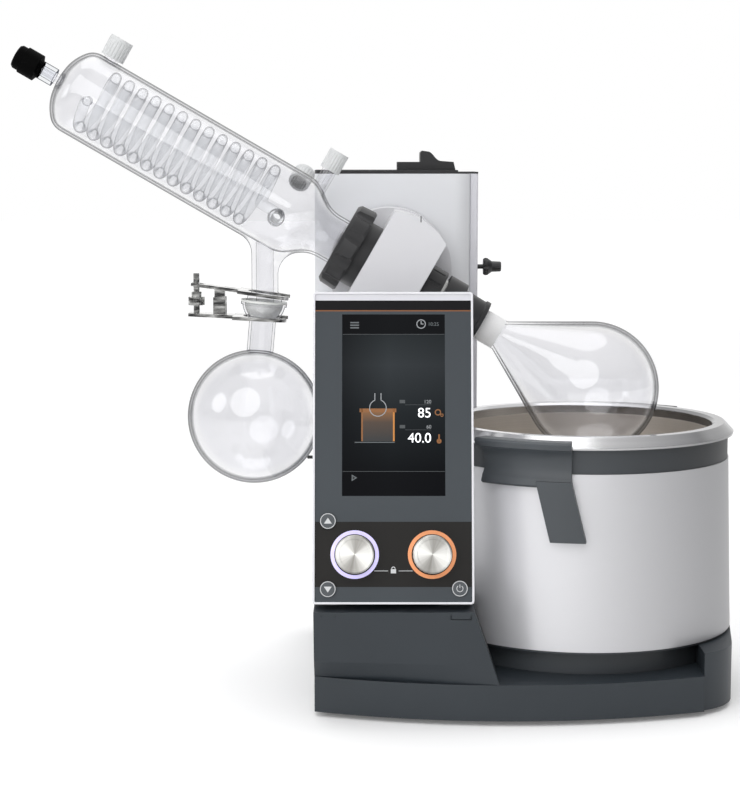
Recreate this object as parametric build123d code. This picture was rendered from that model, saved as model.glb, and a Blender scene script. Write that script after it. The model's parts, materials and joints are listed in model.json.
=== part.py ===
"""Rotary evaporator: motor lift, tilting drive head, diagonal coil condenser, touch panel and heating bath.

Millimetres, +Z up. Shapes are drawn about the tilt pivot, which stands over the bench at X = 0, Y = 0.
The finished assembly is moved so that the bottom centre of its overall box is the origin.
"""
import math
import os

from build123d import *

# Fits and walls
RUN_FIT = 0.05
CLEAR = 0.4
GLASS_WALL = 2.4
SHELL_WALL = 3.0

# Tilt pivot and rotor axis
PIVOT_Z = 404.6
ROTOR_ANGLE = 30.0

# Base
FOOT_HEIGHT = 5.0
FOOT_RADIUS = 12.0
FOOT_CHAMFER = 1.5
BASE_TOP = 38.5
BASE_LEFT = -71.5
BASE_RIGHT = 100.0
BASE_BACK = 215.0
BASE_FRONT = -176.0
BASE_FRONT_RADIUS = 510.0
BASE_FRONT_CENTRE_X = 110.0
BASE_WALL = 6.0

# Heating bath
BATH_X = 188.5
BATH_SHELL_RADIUS = 142.3
BATH_SHELL_FLARE = 4.7
BATH_SHELL_BOTTOM = 61.5
BATH_FOOT_LIP = 2.0
BATH_COLLAR_RADIUS = BATH_SHELL_RADIUS - 1.0
BATH_COLLAR_BOTTOM = 227.0
BATH_RIM_RADIUS = BATH_SHELL_RADIUS + 4.2
BATH_RIM_TOP = 261.0
BATH_RIM_BOTTOM = 249.0
BATH_BOWL_RADIUS = BATH_SHELL_RADIUS - 16.3
BATH_FLOOR_Z = 112.0
BATH_SHEET = 1.6
BATH_FLOOR_FILLET = 22.0
HEATER_RADIUS = BATH_BOWL_RADIUS - 28.0
HEATER_THICKNESS = 8.0
HEATER_POST_INSET = 28.0
HANDLE_REACH = BATH_RIM_RADIUS + 16.5
HANDLE_TOP = 258.5
HANDLE_BOTTOM = 215.0
HANDLE_LIP = 7.0
HANDLE_HOLLOW = 12.0
HANDLE_SEAT_GAP = 0.1
HANDLE_MIDDLE_ANGLE = 243.5
HANDLE_HALF_SPAN = 17.0
HANDLE_LEG_BOTTOM = 165.0
HANDLE_LEG_WIDTH = 33.0
HANDLE_LEG_SLANT = 14.0
HANDLE_LEG_DEPTH = 7.0
DOCK_WALL = 6.0
DOCK_LEFT = BATH_X + BATH_SHELL_RADIUS - 40.8
DOCK_END_ANGLE = 125.0
DOCK_CORNER = 62.0
DOCK_CORNER_Y = -84.0

# Pedestal and touch panel
PEDESTAL_TOP = 106.5
PEDESTAL_TOP_RIGHT = 74.5
PEDESTAL_TOP_FRONT = -177.0
PEDESTAL_BOTTOM_RIGHT = 98.1
PEDESTAL_BACK = 60.0
PEDESTAL_BAND_TOP = 57.0
PEDESTAL_BAND_LEFT_FRONT = -161.0
PEDESTAL_BATH_GAP = 2.5
PEDESTAL_SEAM = 0.8
PANEL_TILT = 12.2
PANEL_LEFT = -72.4
PANEL_RIGHT = 74.6
PANEL_BOTTOM = 113.3
PANEL_TOP = 399.0
PANEL_FRONT = -173.4
PANEL_BACK = PANEL_FRONT + 30.0
PANEL_CORNER = 3.0
PANEL_BORDER = 2.0
FASCIA_THICKNESS = 4.0
DISPLAY_LEFT = PANEL_LEFT + 26.8
DISPLAY_RIGHT = PANEL_RIGHT - 26.0
DISPLAY_BOTTOM = PANEL_BOTTOM + 98.2
DISPLAY_TOP = PANEL_TOP - 20.7
DISPLAY_THICKNESS = 2.0
KNOB_X = (PANEL_LEFT + 38.4, PANEL_RIGHT - 38.3)
KNOB_Z = PANEL_BOTTOM + 45.0
KNOB_RADIUS = 17.6
KNOB_LENGTH = 15.0
KNOB_FLUTES = 24
KNOB_SHAFT_RADIUS = 3.0
LED_RING_RADIUS = 22.0
LED_RING_WIDTH = 3.4
LED_RING_DEPTH = 1.6
BUTTON_RADIUS = 7.3
BUTTON_PROUD = 1.4
BUTTON_TRAVEL = 0.8
BUTTON_SPOTS = {
    "button_up": (PANEL_LEFT + 14.0, PANEL_BOTTOM + 75.4),
    "button_down": (PANEL_LEFT + 14.0, PANEL_BOTTOM + 13.7),
    "button_power": (PANEL_RIGHT - 13.2, PANEL_BOTTOM + 14.2),
}
BOARD_THICKNESS = 1.6

# Lift: mast, rods, screw and carriage
MAST_HALF_WIDTH = 62.0
MAST_FRONT = 162.0
MAST_BACK = 210.0
MAST_TOP = 440.0
MAST_SHEET = 6.0
ROD_X = 34.0
ROD_Y = 178.0
ROD_RADIUS = 6.0
SCREW_RADIUS = 6.0
LIFT_MOTOR_SIDE = 42.0
LIFT_MOTOR_TOP = 82.0
CARRIAGE_BOTTOM = 190.0
CARRIAGE_GUIDE_TOP = 300.0
CARRIAGE_HALF_WIDTH = 48.0
CARRIAGE_SPINE_FRONT = 140.0
CARRIAGE_SPINE_BACK = 154.0
PIVOT_BLOCK_HALF = 36.0
NUT_RADIUS = 13.0
NUT_LENGTH = 30.0
TRUNNION_RADIUS = 20.0
TRUNNION_NUT_RADIUS = 25.0
TRUNNION_NUT_THICKNESS = 5.0

# Tower hood, which rises with the head
HOOD_LEFT = -77.2
HOOD_RIGHT = 83.3
HOOD_TRIM_RIGHT = 91.3
HOOD_TRIM_FRONT = 121.0
HOOD_FRONT = 108.0
HOOD_BACK = 223.0
HOOD_BOTTOM = 75.0
HOOD_TOP = 499.0
HOOD_CAP_TOP = 502.7
HOOD_CORNER = 16.0
GUIDE_BLOCK_LEFT = 7.8
GUIDE_BLOCK_RIGHT = 68.0
GUIDE_BLOCK_TOP = 511.0
GUIDE_HUMP_LEFT = 31.6
GUIDE_HUMP_TOP = 522.5
GUIDE_DEPTH = 46.0
LOCK_Y = 131.0
LOCK_Z = PIVOT_Z - 1.6
LOCK_KNOB_NEAR = 97.4
LOCK_KNOB_FAR = 116.0
LOCK_KNOB_RADIUS = 9.2
LOCK_GRIP_RADIUS = 5.2
LOCK_NECK_RADIUS = 2.4
LOCK_SHAFT_RADIUS = 4.0
LOCK_HOLE_RADIUS = LOCK_SHAFT_RADIUS + 1.0
LOCK_FLUTES = 6
NIPPLE_Z = 200.0
NIPPLE_Y = 150.0
ESCUTCHEON_RADIUS = 21.5

# Drive head: a drum about the tilt axis, flattened across the rotor axis
DRUM_RADIUS = 61.3
DRUM_FRONT_RADIUS = 60.0
DRUM_FRONT = -40.0
DRUM_SHOULDER = 47.0
DRUM_BACK = 106.5
DRUM_COVER = 5.0
DRUM_FLAT_UPPER = -26.8
DRUM_FLAT_LOWER = 31.9
HUB_RADIUS = 18.0
BEARING_RADIUS = 26.0
BEARING_WIDTH = 10.0
BEARING_RACE = 2.4
BEARING_GROOVE = 1.4
BEARING_UPPER = -24.0
BEARING_LOWER = 17.0
PULLEY_START = -7.0
PULLEY_WIDTH = 12.0
PULLEY_RADIUS = 24.0
MOTOR_Y = 76.0
MOTOR_PULLEY_RADIUS = 8.0
MOTOR_RADIUS = 19.0
MOTOR_LENGTH = 30.0
MOTOR_SHAFT_RADIUS = 2.5
BELT_THICKNESS = 1.6

# Rotor stations, measured down the axis from the pivot
COLLAR_START = 32.2
COLLAR_END = 50.2
COLLAR_RADIUS = 27.3
COLLAR_FLUTES = 12
CLIP_START = 53.7
CLIP_STEP = 72.8
CLIP_END = 100.4
CLIP_RADIUS = 26.9
CLIP_SLEEVE_RADIUS = 22.0
CLIP_BUTTON_RADIUS = 8.5
FLASK_MOUTH = 76.0
FLASK_NECK_RADIUS = 15.5
FLASK_NECK_END = 119.0
FLASK_CONE_ANGLE = 30.0
FLASK_RADIUS = 65.5
FLASK_CENTRE = 227.7
TAPER_START_RADIUS = 12.0
TAPER_END_RADIUS = 10.55
TAPER_LENGTH = 29.0
VAPOUR_RADIUS = 10.0
VAPOUR_BORE = 7.5
VAPOUR_START = -60.0

# Condenser stations, measured up the axis from the pivot
FLANGE_START = 26.8
FLANGE_RING_END = 38.9
FLANGE_SPIGOT_END = 49.5
FLANGE_RING_RADIUS = 32.7
FLANGE_SPIGOT_RADIUS = 34.0
NUT_END = 58.5
UNION_NUT_RADIUS = 43.0
UNION_NUT_SCALLOPS = 10
BEAD_END = 55.0
BEAD_RADIUS = 31.0
NECK_END = 69.0
NECK_RADIUS = 23.0
BODY_START = 115.0
BODY_END = 344.0
BODY_RADIUS = 41.8
DOME_END = 369.0
TIP_END = 392.0
TIP_RADIUS = 5.3
END_CAP_END = TIP_END + 24.0
END_CAP_RADIUS = 13.4
COIL_START = 142.0
COIL_TURNS = 13
COIL_PITCH = 14.7
COIL_RADIUS = 29.5
COIL_TUBE_RADIUS = 5.2
RETURN_TURNS = 7
RETURN_RADIUS = 15.5
RETURN_TUBE_RADIUS = 4.4
PORT_RADIUS = 7.0
PORT_BORE = 4.6
CAP_FLUTES = 20
# Each port cap's seat and top, measured out from the condenser axis, and its radius.
VENT_CAP = (BODY_RADIUS + 2.0, BODY_RADIUS + 22.5, 11.7)
FEED_CAP = (BODY_RADIUS + 13.6, BODY_RADIUS + 33.5, 10.0)
COOLANT_CAP = (BODY_RADIUS + 5.2, BODY_RADIUS + 22.2, 10.7)
VENT_STATION = 335.0
FEED_STATION = 100.6
COOLANT_STATION = 121.5
COOLANT_REAR_ANGLE = 51.0

# Receiving side, about the ball joint below the condenser
OUTLET_X = -122.5
BALL_X = -123.5
BALL_Z = 374.6
BALL_RADIUS = 17.5
OUTLET_RADIUS = 13.0
OUTLET_BORE = 8.5
OUTLET_THROAT = 21.0
LINER_WALL = 1.2
LINER_FLANGE_RADIUS = 22.5
RECEIVER_RADIUS = 65.5
RECEIVER_LEAN = 5.1
RECEIVER_DROP = 112.1
RECEIVER_NECK_RADIUS = 13.0
CLAMP_PIN_X = -166.5
CLAMP_PIN_Z = 375.5
CLAMP_SCREW_X = -189.3
CLAMP_UPPER_SLOPE = 8.0
CLAMP_LOWER_SLOPE = 3.0
CLAMP_TIP_X = -100.0
CLAMP_TAIL_X = -196.0
CLAMP_HALF_WIDTH = 27.0
CLAMP_SHEET = 3.2
CLAMP_NUT_RADIUS = 8.0
CLAMP_NUT_KNURLS = 18

AXIS_RUN = math.cos(math.radians(ROTOR_ANGLE))
AXIS_DROP = math.sin(math.radians(ROTOR_ANGLE))
# Local Z runs down the rotor axis to the flask, local X points up across it and local Y faces the front.
ROTOR = Plane(
    origin=(0, 0, PIVOT_Z), x_dir=(AXIS_DROP, 0, AXIS_RUN), z_dir=(AXIS_RUN, 0, -AXIS_DROP)
).location
# The same axis the other way: local Z runs up to the condenser and local Y faces the rear.
CONDENSER = Plane(
    origin=(0, 0, PIVOT_Z), x_dir=(AXIS_DROP, 0, AXIS_RUN), z_dir=(-AXIS_RUN, 0, AXIS_DROP)
).location
LEAN = math.radians(RECEIVER_LEAN)
# Local Z runs down the receiving flask from the centre of its ball joint.
RECEIVER = Plane(
    origin=(BALL_X, 0, BALL_Z), x_dir=(0, 1, 0), z_dir=(-math.sin(LEAN), 0, -math.cos(LEAN))
).location
BATH = Location((BATH_X, 0, 0))
# The touch panel is drawn upright and then leant back about its lower front edge.
PANEL = Location((0, PANEL_FRONT, PANEL_BOTTOM), (-PANEL_TILT, 0, 0)) * Location(
    (0, -PANEL_FRONT, -PANEL_BOTTOM)
)


def box(x0, x1, y0, y1, z0, z1):
    """A block between two corners."""
    middle = ((x0 + x1) / 2, (y0 + y1) / 2, (z0 + z1) / 2)
    return Location(middle) * Box(x1 - x0, y1 - y0, z1 - z0)


def rounded_box(x0, x1, y0, y1, z0, z1, radius):
    """A block whose upright edges are rounded."""
    plan = RectangleRounded(x1 - x0, y1 - y0, radius)
    return Location(((x0 + x1) / 2, (y0 + y1) / 2, z0)) * extrude(plan, z1 - z0)


def front_rounded_box(x0, x1, y0, y1, z0, z1, radius):
    """A block whose edges along Y are rounded."""
    plan = RectangleRounded(x1 - x0, z1 - z0, radius)
    solid = Plane.XZ * extrude(plan, y0 - y1)
    return Location(((x0 + x1) / 2, y0, (z0 + z1) / 2)) * solid


def tube(outer, inner, start, end):
    """A ring or tube about local Z between two heights."""
    ring = Circle(outer)
    if inner > 0:
        ring = ring - Circle(inner)
    return Location((0, 0, start)) * extrude(ring, end - start)


def rod(radius, start, end):
    """A round bar about local Z between two heights."""
    return tube(radius, 0, start, end)


def along_x(x, y, z):
    """Local Z along +X from a point."""
    return Plane(origin=(x, y, z), x_dir=(0, 1, 0), z_dir=(1, 0, 0)).location


def along_y(x, y, z):
    """Local Z along +Y from a point."""
    return Plane(origin=(x, y, z), x_dir=(1, 0, 0), z_dir=(0, 1, 0)).location


def radial(station, angle):
    """Local Z straight out from the condenser axis at a station, turned from up towards the rear."""
    turn = math.radians(angle)
    port = Plane(origin=(0, 0, station), x_dir=(0, 0, 1), z_dir=(math.cos(turn), math.sin(turn), 0))
    return CONDENSER * port.location


def around(count, reach):
    """Evenly spaced places on a circle about local Z."""
    turns = [2 * math.pi * step / count for step in range(count)]
    return [Location((reach * math.cos(turn), reach * math.sin(turn), 0)) for turn in turns]


def lathe(points):
    """A solid turned about local Z from (height, radius) points."""
    outline = Polyline(*[(radius, height) for height, radius in points], close=True)
    return revolve(Plane.XZ * make_face(outline), Axis.Z)


def lathe_edges(*edges):
    """A solid turned about local Z from edges drawn as (radius, height)."""
    return revolve(Plane.XZ * make_face(list(edges)), Axis.Z)


def plan_box(x0, x1, y0, y1):
    """A flat rectangle between two corners."""
    return Location(((x0 + x1) / 2, (y0 + y1) / 2)) * Rectangle(x1 - x0, y1 - y0)


def slab(plan, z0, z1):
    """A flat shape made solid between two heights."""
    return Location((0, 0, z0)) * extrude(plan, z1 - z0)


def on_panel(make):
    """A builder whose upright piece is leant back with the touch panel."""
    return lambda: PANEL * make()


# Base

BASE_FRONT_CENTRE_Y = BASE_FRONT + BASE_FRONT_RADIUS
BATH_FOOT_RADIUS = BATH_SHELL_RADIUS + BATH_SHELL_FLARE
DOCK_INNER = BATH_SHELL_RADIUS - DOCK_WALL
DOCK_CORNER_X = BATH_X + BATH_SHELL_RADIUS - DOCK_CORNER - 6.8
PLAN_REACH = 3 * BATH_SHELL_RADIUS
BATH_FOOT_REACH = DOCK_INNER - FOOT_RADIUS - 16.0
BATH_FOOT_TURN = math.radians(38.0)
BATH_FOOT_SPOT = (BATH_X + BATH_FOOT_REACH * math.cos(BATH_FOOT_TURN), BATH_FOOT_REACH * math.sin(BATH_FOOT_TURN))
FOOT_SPOTS = ((-50, -110), (-50, 192), (78, 192), (BATH_X + 60, -110), BATH_FOOT_SPOT)
INLET_X = -40.0
INLET_HALF_WIDTH = 14.0
INLET_DEPTH = 16.0
INLET_BOTTOM = 11.0
INLET_TOP = 31.0
INLET_WALL = 2.5
PIN_SPOTS = ((-7, -1.5), (0, 2.5), (7, -1.5))


def base_outline(shrink):
    """The plan of the base: a block under tower and panel, a round end for the bath and a curved front."""
    block = plan_box(BASE_LEFT + shrink, BASE_RIGHT - shrink, BASE_FRONT, BASE_BACK - shrink)
    apron = plan_box(BASE_LEFT + shrink, DOCK_LEFT, BASE_FRONT, DOCK_CORNER_Y)
    under_bath = BATH * Circle(BATH_FOOT_RADIUS - shrink)
    corner = Location((DOCK_CORNER_X, DOCK_CORNER_Y)) * Circle(DOCK_CORNER - shrink)
    end = make_hull([*under_bath.edges(), *corner.edges()])
    front = Location((BASE_FRONT_CENTRE_X, BASE_FRONT_CENTRE_Y)) * Circle(BASE_FRONT_RADIUS - shrink)
    return (block + apron + end) & front


def dock_plan(grow):
    """The part of the plan outside the bath's foot, from the dock's front end round to its rear end."""
    turn = math.radians(DOCK_END_ANGLE)
    zone = Polyline(
        (DOCK_LEFT - grow, -PLAN_REACH),
        (BATH_X + PLAN_REACH, -PLAN_REACH),
        (BATH_X + PLAN_REACH, PLAN_REACH),
        (BATH_X + PLAN_REACH * math.cos(turn) - grow, PLAN_REACH * math.sin(turn)),
        (BATH_X - grow, 0),
        (DOCK_LEFT - grow, 0),
        close=True,
    )
    beside_tower = plan_box(BASE_RIGHT, BATH_X + PLAN_REACH, -PLAN_REACH, PLAN_REACH)
    return (make_face(zone) & beside_tower) - BATH * Circle(DOCK_INNER - grow)


def base_plate():
    """A cast tray, open below, with bosses over the feet and a pocket for the mains inlet."""
    tray = slab(base_outline(0) - dock_plan(0), FOOT_HEIGHT, BASE_TOP)
    hollow_plan = base_outline(BASE_WALL) - dock_plan(BASE_WALL)
    tray = tray - slab(hollow_plan, FOOT_HEIGHT, BASE_TOP - BASE_WALL)
    for x, y in FOOT_SPOTS:
        tray = tray + Location((x, y, 0)) * rod(FOOT_RADIUS, FOOT_HEIGHT, BASE_TOP - 1)
    return tray - inlet_block(INLET_HALF_WIDTH, INLET_DEPTH, 0)


def inlet_block(half_width, depth, inset):
    """A block in the rear edge of the base, as wide and deep as asked."""
    return box(
        INLET_X - half_width,
        INLET_X + half_width,
        BASE_BACK - depth,
        BASE_BACK,
        INLET_BOTTOM + inset,
        INLET_TOP - inset,
    )


def rubber_feet():
    """Five slightly tapered feet under the bosses."""
    foot = chamfer(rod(FOOT_RADIUS, 0, FOOT_HEIGHT).edges().group_by(Axis.Z)[0], FOOT_CHAMFER)
    return Compound([Location((x, y, 0)) * foot for x, y in FOOT_SPOTS])


def bath_dock():
    """The wall round the right of the base that keeps the bath in its place, open at the front."""
    return slab(base_outline(0) & dock_plan(0), FOOT_HEIGHT, BATH_SHELL_BOTTOM - BATH_FOOT_LIP - CLEAR)


def power_inlet():
    """A three-pin mains inlet in the rear edge of the base."""
    body = inlet_block(INLET_HALF_WIDTH, INLET_DEPTH, 0)
    body = body - inlet_block(INLET_HALF_WIDTH - INLET_WALL, INLET_DEPTH - INLET_WALL, INLET_WALL)
    for dx, dz in PIN_SPOTS:
        middle = (INLET_BOTTOM + INLET_TOP) / 2 + dz
        pin = box(dx - 1, dx + 1, -INLET_DEPTH + INLET_WALL - 0.5, -3, middle - 2, middle + 2)
        body = body + Location((INLET_X, BASE_BACK, 0)) * pin
    return body


# Pedestal and touch panel

PEDESTAL_INNER_TOP = PEDESTAL_TOP - SHELL_WALL
BRACKET_HALF_WIDTH = 42.0
BRACKET_TOP = PANEL_TOP - 95.0
BRACKET_DEPTH = 16.0
BRACKET_SLOT = (14.0, BRACKET_TOP - 110.7, BRACKET_TOP - 60.7)
FASCIA_FRONT = PANEL_FRONT + 1.0
FASCIA_BACK = FASCIA_FRONT + FASCIA_THICKNESS
BOARD_FRONT = FASCIA_BACK + 6.0
PANEL_MIDDLE_X = (PANEL_LEFT + PANEL_RIGHT) / 2
KNOB_HOLE = KNOB_SHAFT_RADIUS + 2.0
ENCODER_RADIUS = 7.0
BUTTON_FLANGE_RADIUS = BUTTON_RADIUS + 1.0
SEAM_SPANS = ((-64.5, -51.0), (53.0, 72.0))
SEAM_BOTTOM = PEDESTAL_TOP - 7.0
SEAM_TOP = SEAM_BOTTOM + 4.5


def front_line(x):
    """The base's curved front edge at an X."""
    reach = x - BASE_FRONT_CENTRE_X
    return BASE_FRONT_CENTRE_Y - math.sqrt(BASE_FRONT_RADIUS**2 - reach**2)


def pedestal_section(z, inset, right, left_front, right_front):
    """A level outline of the pedestal with a bowed front."""
    left = BASE_LEFT + inset
    right = right - inset
    bow = (left_front + right_front) / 2 - 0.08 * abs(left_front - right_front) - 0.3
    front = [(left, left_front + inset), ((left + right) / 2, bow + inset), (right, right_front + inset)]
    back = PEDESTAL_BACK - inset
    edges = [
        ThreePointArc(*front),
        Line(front[2], (right, back)),
        Line((right, back), (left, back)),
        Line((left, back), front[0]),
    ]
    return Location((0, 0, z)) * make_face(edges)


def pedestal_solid(inset, bottom, top):
    """The pedestal drawn in by an inset: a curved band at the base and a straighter upper part."""
    share = (PEDESTAL_BAND_TOP - BASE_TOP) / (PEDESTAL_TOP - BASE_TOP)
    band_right = PEDESTAL_BOTTOM_RIGHT + share * (PEDESTAL_TOP_RIGHT - PEDESTAL_BOTTOM_RIGHT)
    low_front = front_line(BASE_LEFT)
    right_front = front_line(PEDESTAL_BOTTOM_RIGHT)
    low = pedestal_section(bottom, inset, PEDESTAL_BOTTOM_RIGHT, low_front, right_front)
    middle = pedestal_section(PEDESTAL_BAND_TOP, inset, band_right, PEDESTAL_BAND_LEFT_FRONT, right_front)
    high = pedestal_section(top, inset, PEDESTAL_TOP_RIGHT, PEDESTAL_TOP_FRONT, PEDESTAL_TOP_FRONT)
    body = loft([low, middle], ruled=True) + loft([middle, high], ruled=True)
    return body - BATH * rod(BATH_FOOT_RADIUS + PEDESTAL_BATH_GAP + inset, bottom - 1, top + 1)


def pedestal_seam(start, end):
    """A shallow U-shaped seam high on the pedestal's front."""
    front = PEDESTAL_TOP_FRONT - 2
    depth = PEDESTAL_TOP_FRONT + SHELL_WALL / 2
    tab = box(start, end, front, depth, SEAM_BOTTOM, SEAM_TOP)
    low = SEAM_BOTTOM + PEDESTAL_SEAM
    return tab - box(start + PEDESTAL_SEAM, end - PEDESTAL_SEAM, front - 1, depth + 1, low, SEAM_TOP + 1)


def pedestal_cover():
    """The dark hollow cover under the panel, with a curved lower band and the panel's arm."""
    cover = pedestal_solid(0, BASE_TOP, PEDESTAL_TOP)
    cover = cover - pedestal_solid(SHELL_WALL, BASE_TOP, PEDESTAL_INNER_TOP)
    for start, end in SEAM_SPANS:
        cover = cover - pedestal_seam(start, end)
    arm = box(
        -BRACKET_HALF_WIDTH,
        BRACKET_HALF_WIDTH,
        PANEL_BACK,
        PANEL_BACK + BRACKET_DEPTH,
        PANEL_BOTTOM - BRACKET_DEPTH,
        BRACKET_TOP,
    )
    half, low, high = BRACKET_SLOT
    arm = arm - box(-half, half, PANEL_BACK - 1, PANEL_BACK + BRACKET_DEPTH + 1, low, high)
    return cover + PANEL * (Location((PANEL_MIDDLE_X, 0, 0)) * arm)


def panel_housing():
    """The white case of the touch panel: a deep tray open to the front, bored for its board."""
    shape = (PANEL_LEFT, PANEL_RIGHT, PANEL_FRONT, PANEL_BACK, PANEL_BOTTOM, PANEL_TOP)
    case = front_rounded_box(*shape, PANEL_CORNER)
    pocket = panel_inset(PANEL_BORDER, PANEL_FRONT - 1, FASCIA_BACK)
    cavity = panel_inset(PANEL_BORDER + 3, FASCIA_BACK - 1, PANEL_BACK - SHELL_WALL)
    case = case - pocket - cavity
    flange_room = rod(BUTTON_FLANGE_RADIUS + CLEAR, -1, BOARD_FRONT - FASCIA_BACK)
    for x, z in BUTTON_SPOTS.values():
        case = case - along_y(x, FASCIA_BACK, z) * flange_room
    return case


def panel_inset(inset, front, back):
    """The panel outline drawn in by an inset, between two depths."""
    return front_rounded_box(
        PANEL_LEFT + inset,
        PANEL_RIGHT - inset,
        front,
        back,
        PANEL_BOTTOM + inset,
        PANEL_TOP - inset,
        PANEL_CORNER - PANEL_BORDER,
    )


def panel_fascia():
    """The dark front plate with its display pocket, ring grooves and holes for knobs and buttons."""
    plate = panel_inset(PANEL_BORDER, FASCIA_FRONT, FASCIA_BACK)
    plate = plate - display_glass()
    for x in KNOB_X:
        here = along_y(x, FASCIA_FRONT, KNOB_Z)
        plate = plate - here * tube(LED_RING_RADIUS, LED_RING_RADIUS - LED_RING_WIDTH, -1, LED_RING_DEPTH)
        plate = plate - here * rod(KNOB_HOLE, -1, FASCIA_THICKNESS + 1)
    key_hole = rod(BUTTON_RADIUS + RUN_FIT * 2, -1, FASCIA_THICKNESS + 1)
    for x, z in BUTTON_SPOTS.values():
        plate = plate - along_y(x, FASCIA_FRONT, z) * key_hole
    return plate


def display_glass():
    """The touch display, flush in its pocket."""
    back = FASCIA_FRONT + DISPLAY_THICKNESS
    return box(DISPLAY_LEFT, DISPLAY_RIGHT, FASCIA_FRONT, back, DISPLAY_BOTTOM, DISPLAY_TOP)


def led_rings():
    """A light ring round each knob."""
    ring = tube(LED_RING_RADIUS, LED_RING_RADIUS - LED_RING_WIDTH, -0.2, LED_RING_DEPTH)
    return Compound([along_y(x, FASCIA_FRONT, KNOB_Z) * ring for x in KNOB_X])


def control_board():
    """The circuit board on four posts, with an encoder behind each knob and a switch behind each button."""
    margin = PANEL_BORDER + 8
    board = panel_inset(margin, BOARD_FRONT, BOARD_FRONT + BOARD_THICKNESS)
    for x in KNOB_X:
        here = along_y(x, BOARD_FRONT, KNOB_Z)
        board = board + here * tube(ENCODER_RADIUS, KNOB_SHAFT_RADIUS + RUN_FIT, -4, 0.5)
    for x, z in BUTTON_SPOTS.values():
        board = board + along_y(x, BOARD_FRONT, z) * box(-3, 3, -3, 3, -1.6, 0.5)
    for x in (PANEL_LEFT + 24, PANEL_RIGHT - 24):
        for z in (PANEL_BOTTOM + 90, PANEL_TOP - 24):
            post = rod(3, 0.5, PANEL_BACK - SHELL_WALL - BOARD_FRONT)
            board = board + along_y(x, BOARD_FRONT, z) * post
    return board


def panel_knob(x):
    """A push-on knob with fine grip flutes and a shaft into its encoder."""
    face = FASCIA_FRONT - 0.6
    cap = along_y(x, face - KNOB_LENGTH, KNOB_Z) * rod(KNOB_RADIUS, 0, KNOB_LENGTH)
    cap = chamfer(cap.edges().filter_by(GeomType.CIRCLE).group_by(Axis.Y)[0], 1.2)
    dish = along_y(x, face - KNOB_LENGTH, KNOB_Z) * rod(KNOB_RADIUS - 4, -1, 0.6)
    flute = rod(1.3, 0, KNOB_LENGTH)
    for place in around(KNOB_FLUTES, KNOB_RADIUS + 0.7):
        cap = cap - along_y(x, face - KNOB_LENGTH + 4, KNOB_Z) * (place * flute)
    shaft = along_y(x, face - 1, KNOB_Z) * rod(KNOB_SHAFT_RADIUS, 0, BOARD_FRONT - face + 1)
    return cap - dish + shaft


def panel_button(name):
    """A sprung round key with a flange behind the fascia, so that it can't fall out."""
    x, z = BUTTON_SPOTS[name]
    here = along_y(x, FASCIA_FRONT, z)
    key = here * rod(BUTTON_RADIUS, -BUTTON_PROUD, FASCIA_THICKNESS + 0.2)
    flange = here * rod(BUTTON_FLANGE_RADIUS, FASCIA_THICKNESS + 0.05, FASCIA_THICKNESS + 1.2)
    stem_end = BOARD_FRONT - FASCIA_FRONT - 1.6 - BUTTON_TRAVEL - 0.1
    return key + flange + here * rod(2, FASCIA_THICKNESS, stem_end)


# Lift

MAST_ROOF_BOTTOM = MAST_TOP - MAST_SHEET - 2
SCREW_TOP = MAST_TOP - 2
SCREW_BOTTOM = LIFT_MOTOR_TOP - 14
PIVOT_BLOCK_FRONT = HOOD_FRONT + SHELL_WALL
NUT_BOTTOM = (CARRIAGE_BOTTOM + CARRIAGE_GUIDE_TOP - NUT_LENGTH) / 2


def rod_spots():
    """Where the two guide rods stand."""
    return [Location((side * ROD_X, ROD_Y, 0)) for side in (-1, 1)]


def mast():
    """The fixed channel on the base: a back, two sides and a roof that steadies rods and screw."""
    side = box(MAST_HALF_WIDTH - MAST_SHEET, MAST_HALF_WIDTH, MAST_FRONT, MAST_BACK, BASE_TOP, MAST_TOP)
    channel = box(-MAST_HALF_WIDTH, MAST_HALF_WIDTH, MAST_BACK - MAST_SHEET, MAST_BACK, BASE_TOP, MAST_TOP)
    channel = channel + side + mirror(side, Plane.YZ)
    channel = channel + box(
        -MAST_HALF_WIDTH, MAST_HALF_WIDTH, MAST_FRONT, MAST_BACK, MAST_ROOF_BOTTOM, MAST_TOP
    )
    for spot in rod_spots():
        channel = channel - spot * rod(ROD_RADIUS, MAST_ROOF_BOTTOM - 1, MAST_TOP + 1)
    screw_hole = rod(SCREW_RADIUS + RUN_FIT, MAST_ROOF_BOTTOM - 1, MAST_TOP + 1)
    return channel - Location((0, ROD_Y, 0)) * screw_hole


def guide_rods():
    """Two ground rods from the base to the roof of the mast."""
    return Compound([spot * rod(ROD_RADIUS, BASE_TOP, MAST_TOP) for spot in rod_spots()])


def lift_motor():
    """The square lift motor at the foot of the screw, with a bored hub for the screw's end."""
    half = LIFT_MOTOR_SIDE / 2
    body = rounded_box(-half, half, ROD_Y - half, ROD_Y + half, BASE_TOP, LIFT_MOTOR_TOP - 6, 4)
    hub = Location((0, ROD_Y, 0)) * rod(SCREW_RADIUS + 5, LIFT_MOTOR_TOP - 7, LIFT_MOTOR_TOP)
    screw_end = rod(SCREW_RADIUS + RUN_FIT, SCREW_BOTTOM, LIFT_MOTOR_TOP + 1)
    return body + hub - Location((0, ROD_Y, 0)) * screw_end


def lift_screw():
    """The lead screw, with a drive collar just above the motor's hub."""
    spindle = rod(SCREW_RADIUS, SCREW_BOTTOM, SCREW_TOP)
    collar = rod(SCREW_RADIUS + 4, LIFT_MOTOR_TOP + 0.2, LIFT_MOTOR_TOP + 8)
    return Location((0, ROD_Y, 0)) * (spindle + collar)


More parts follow.
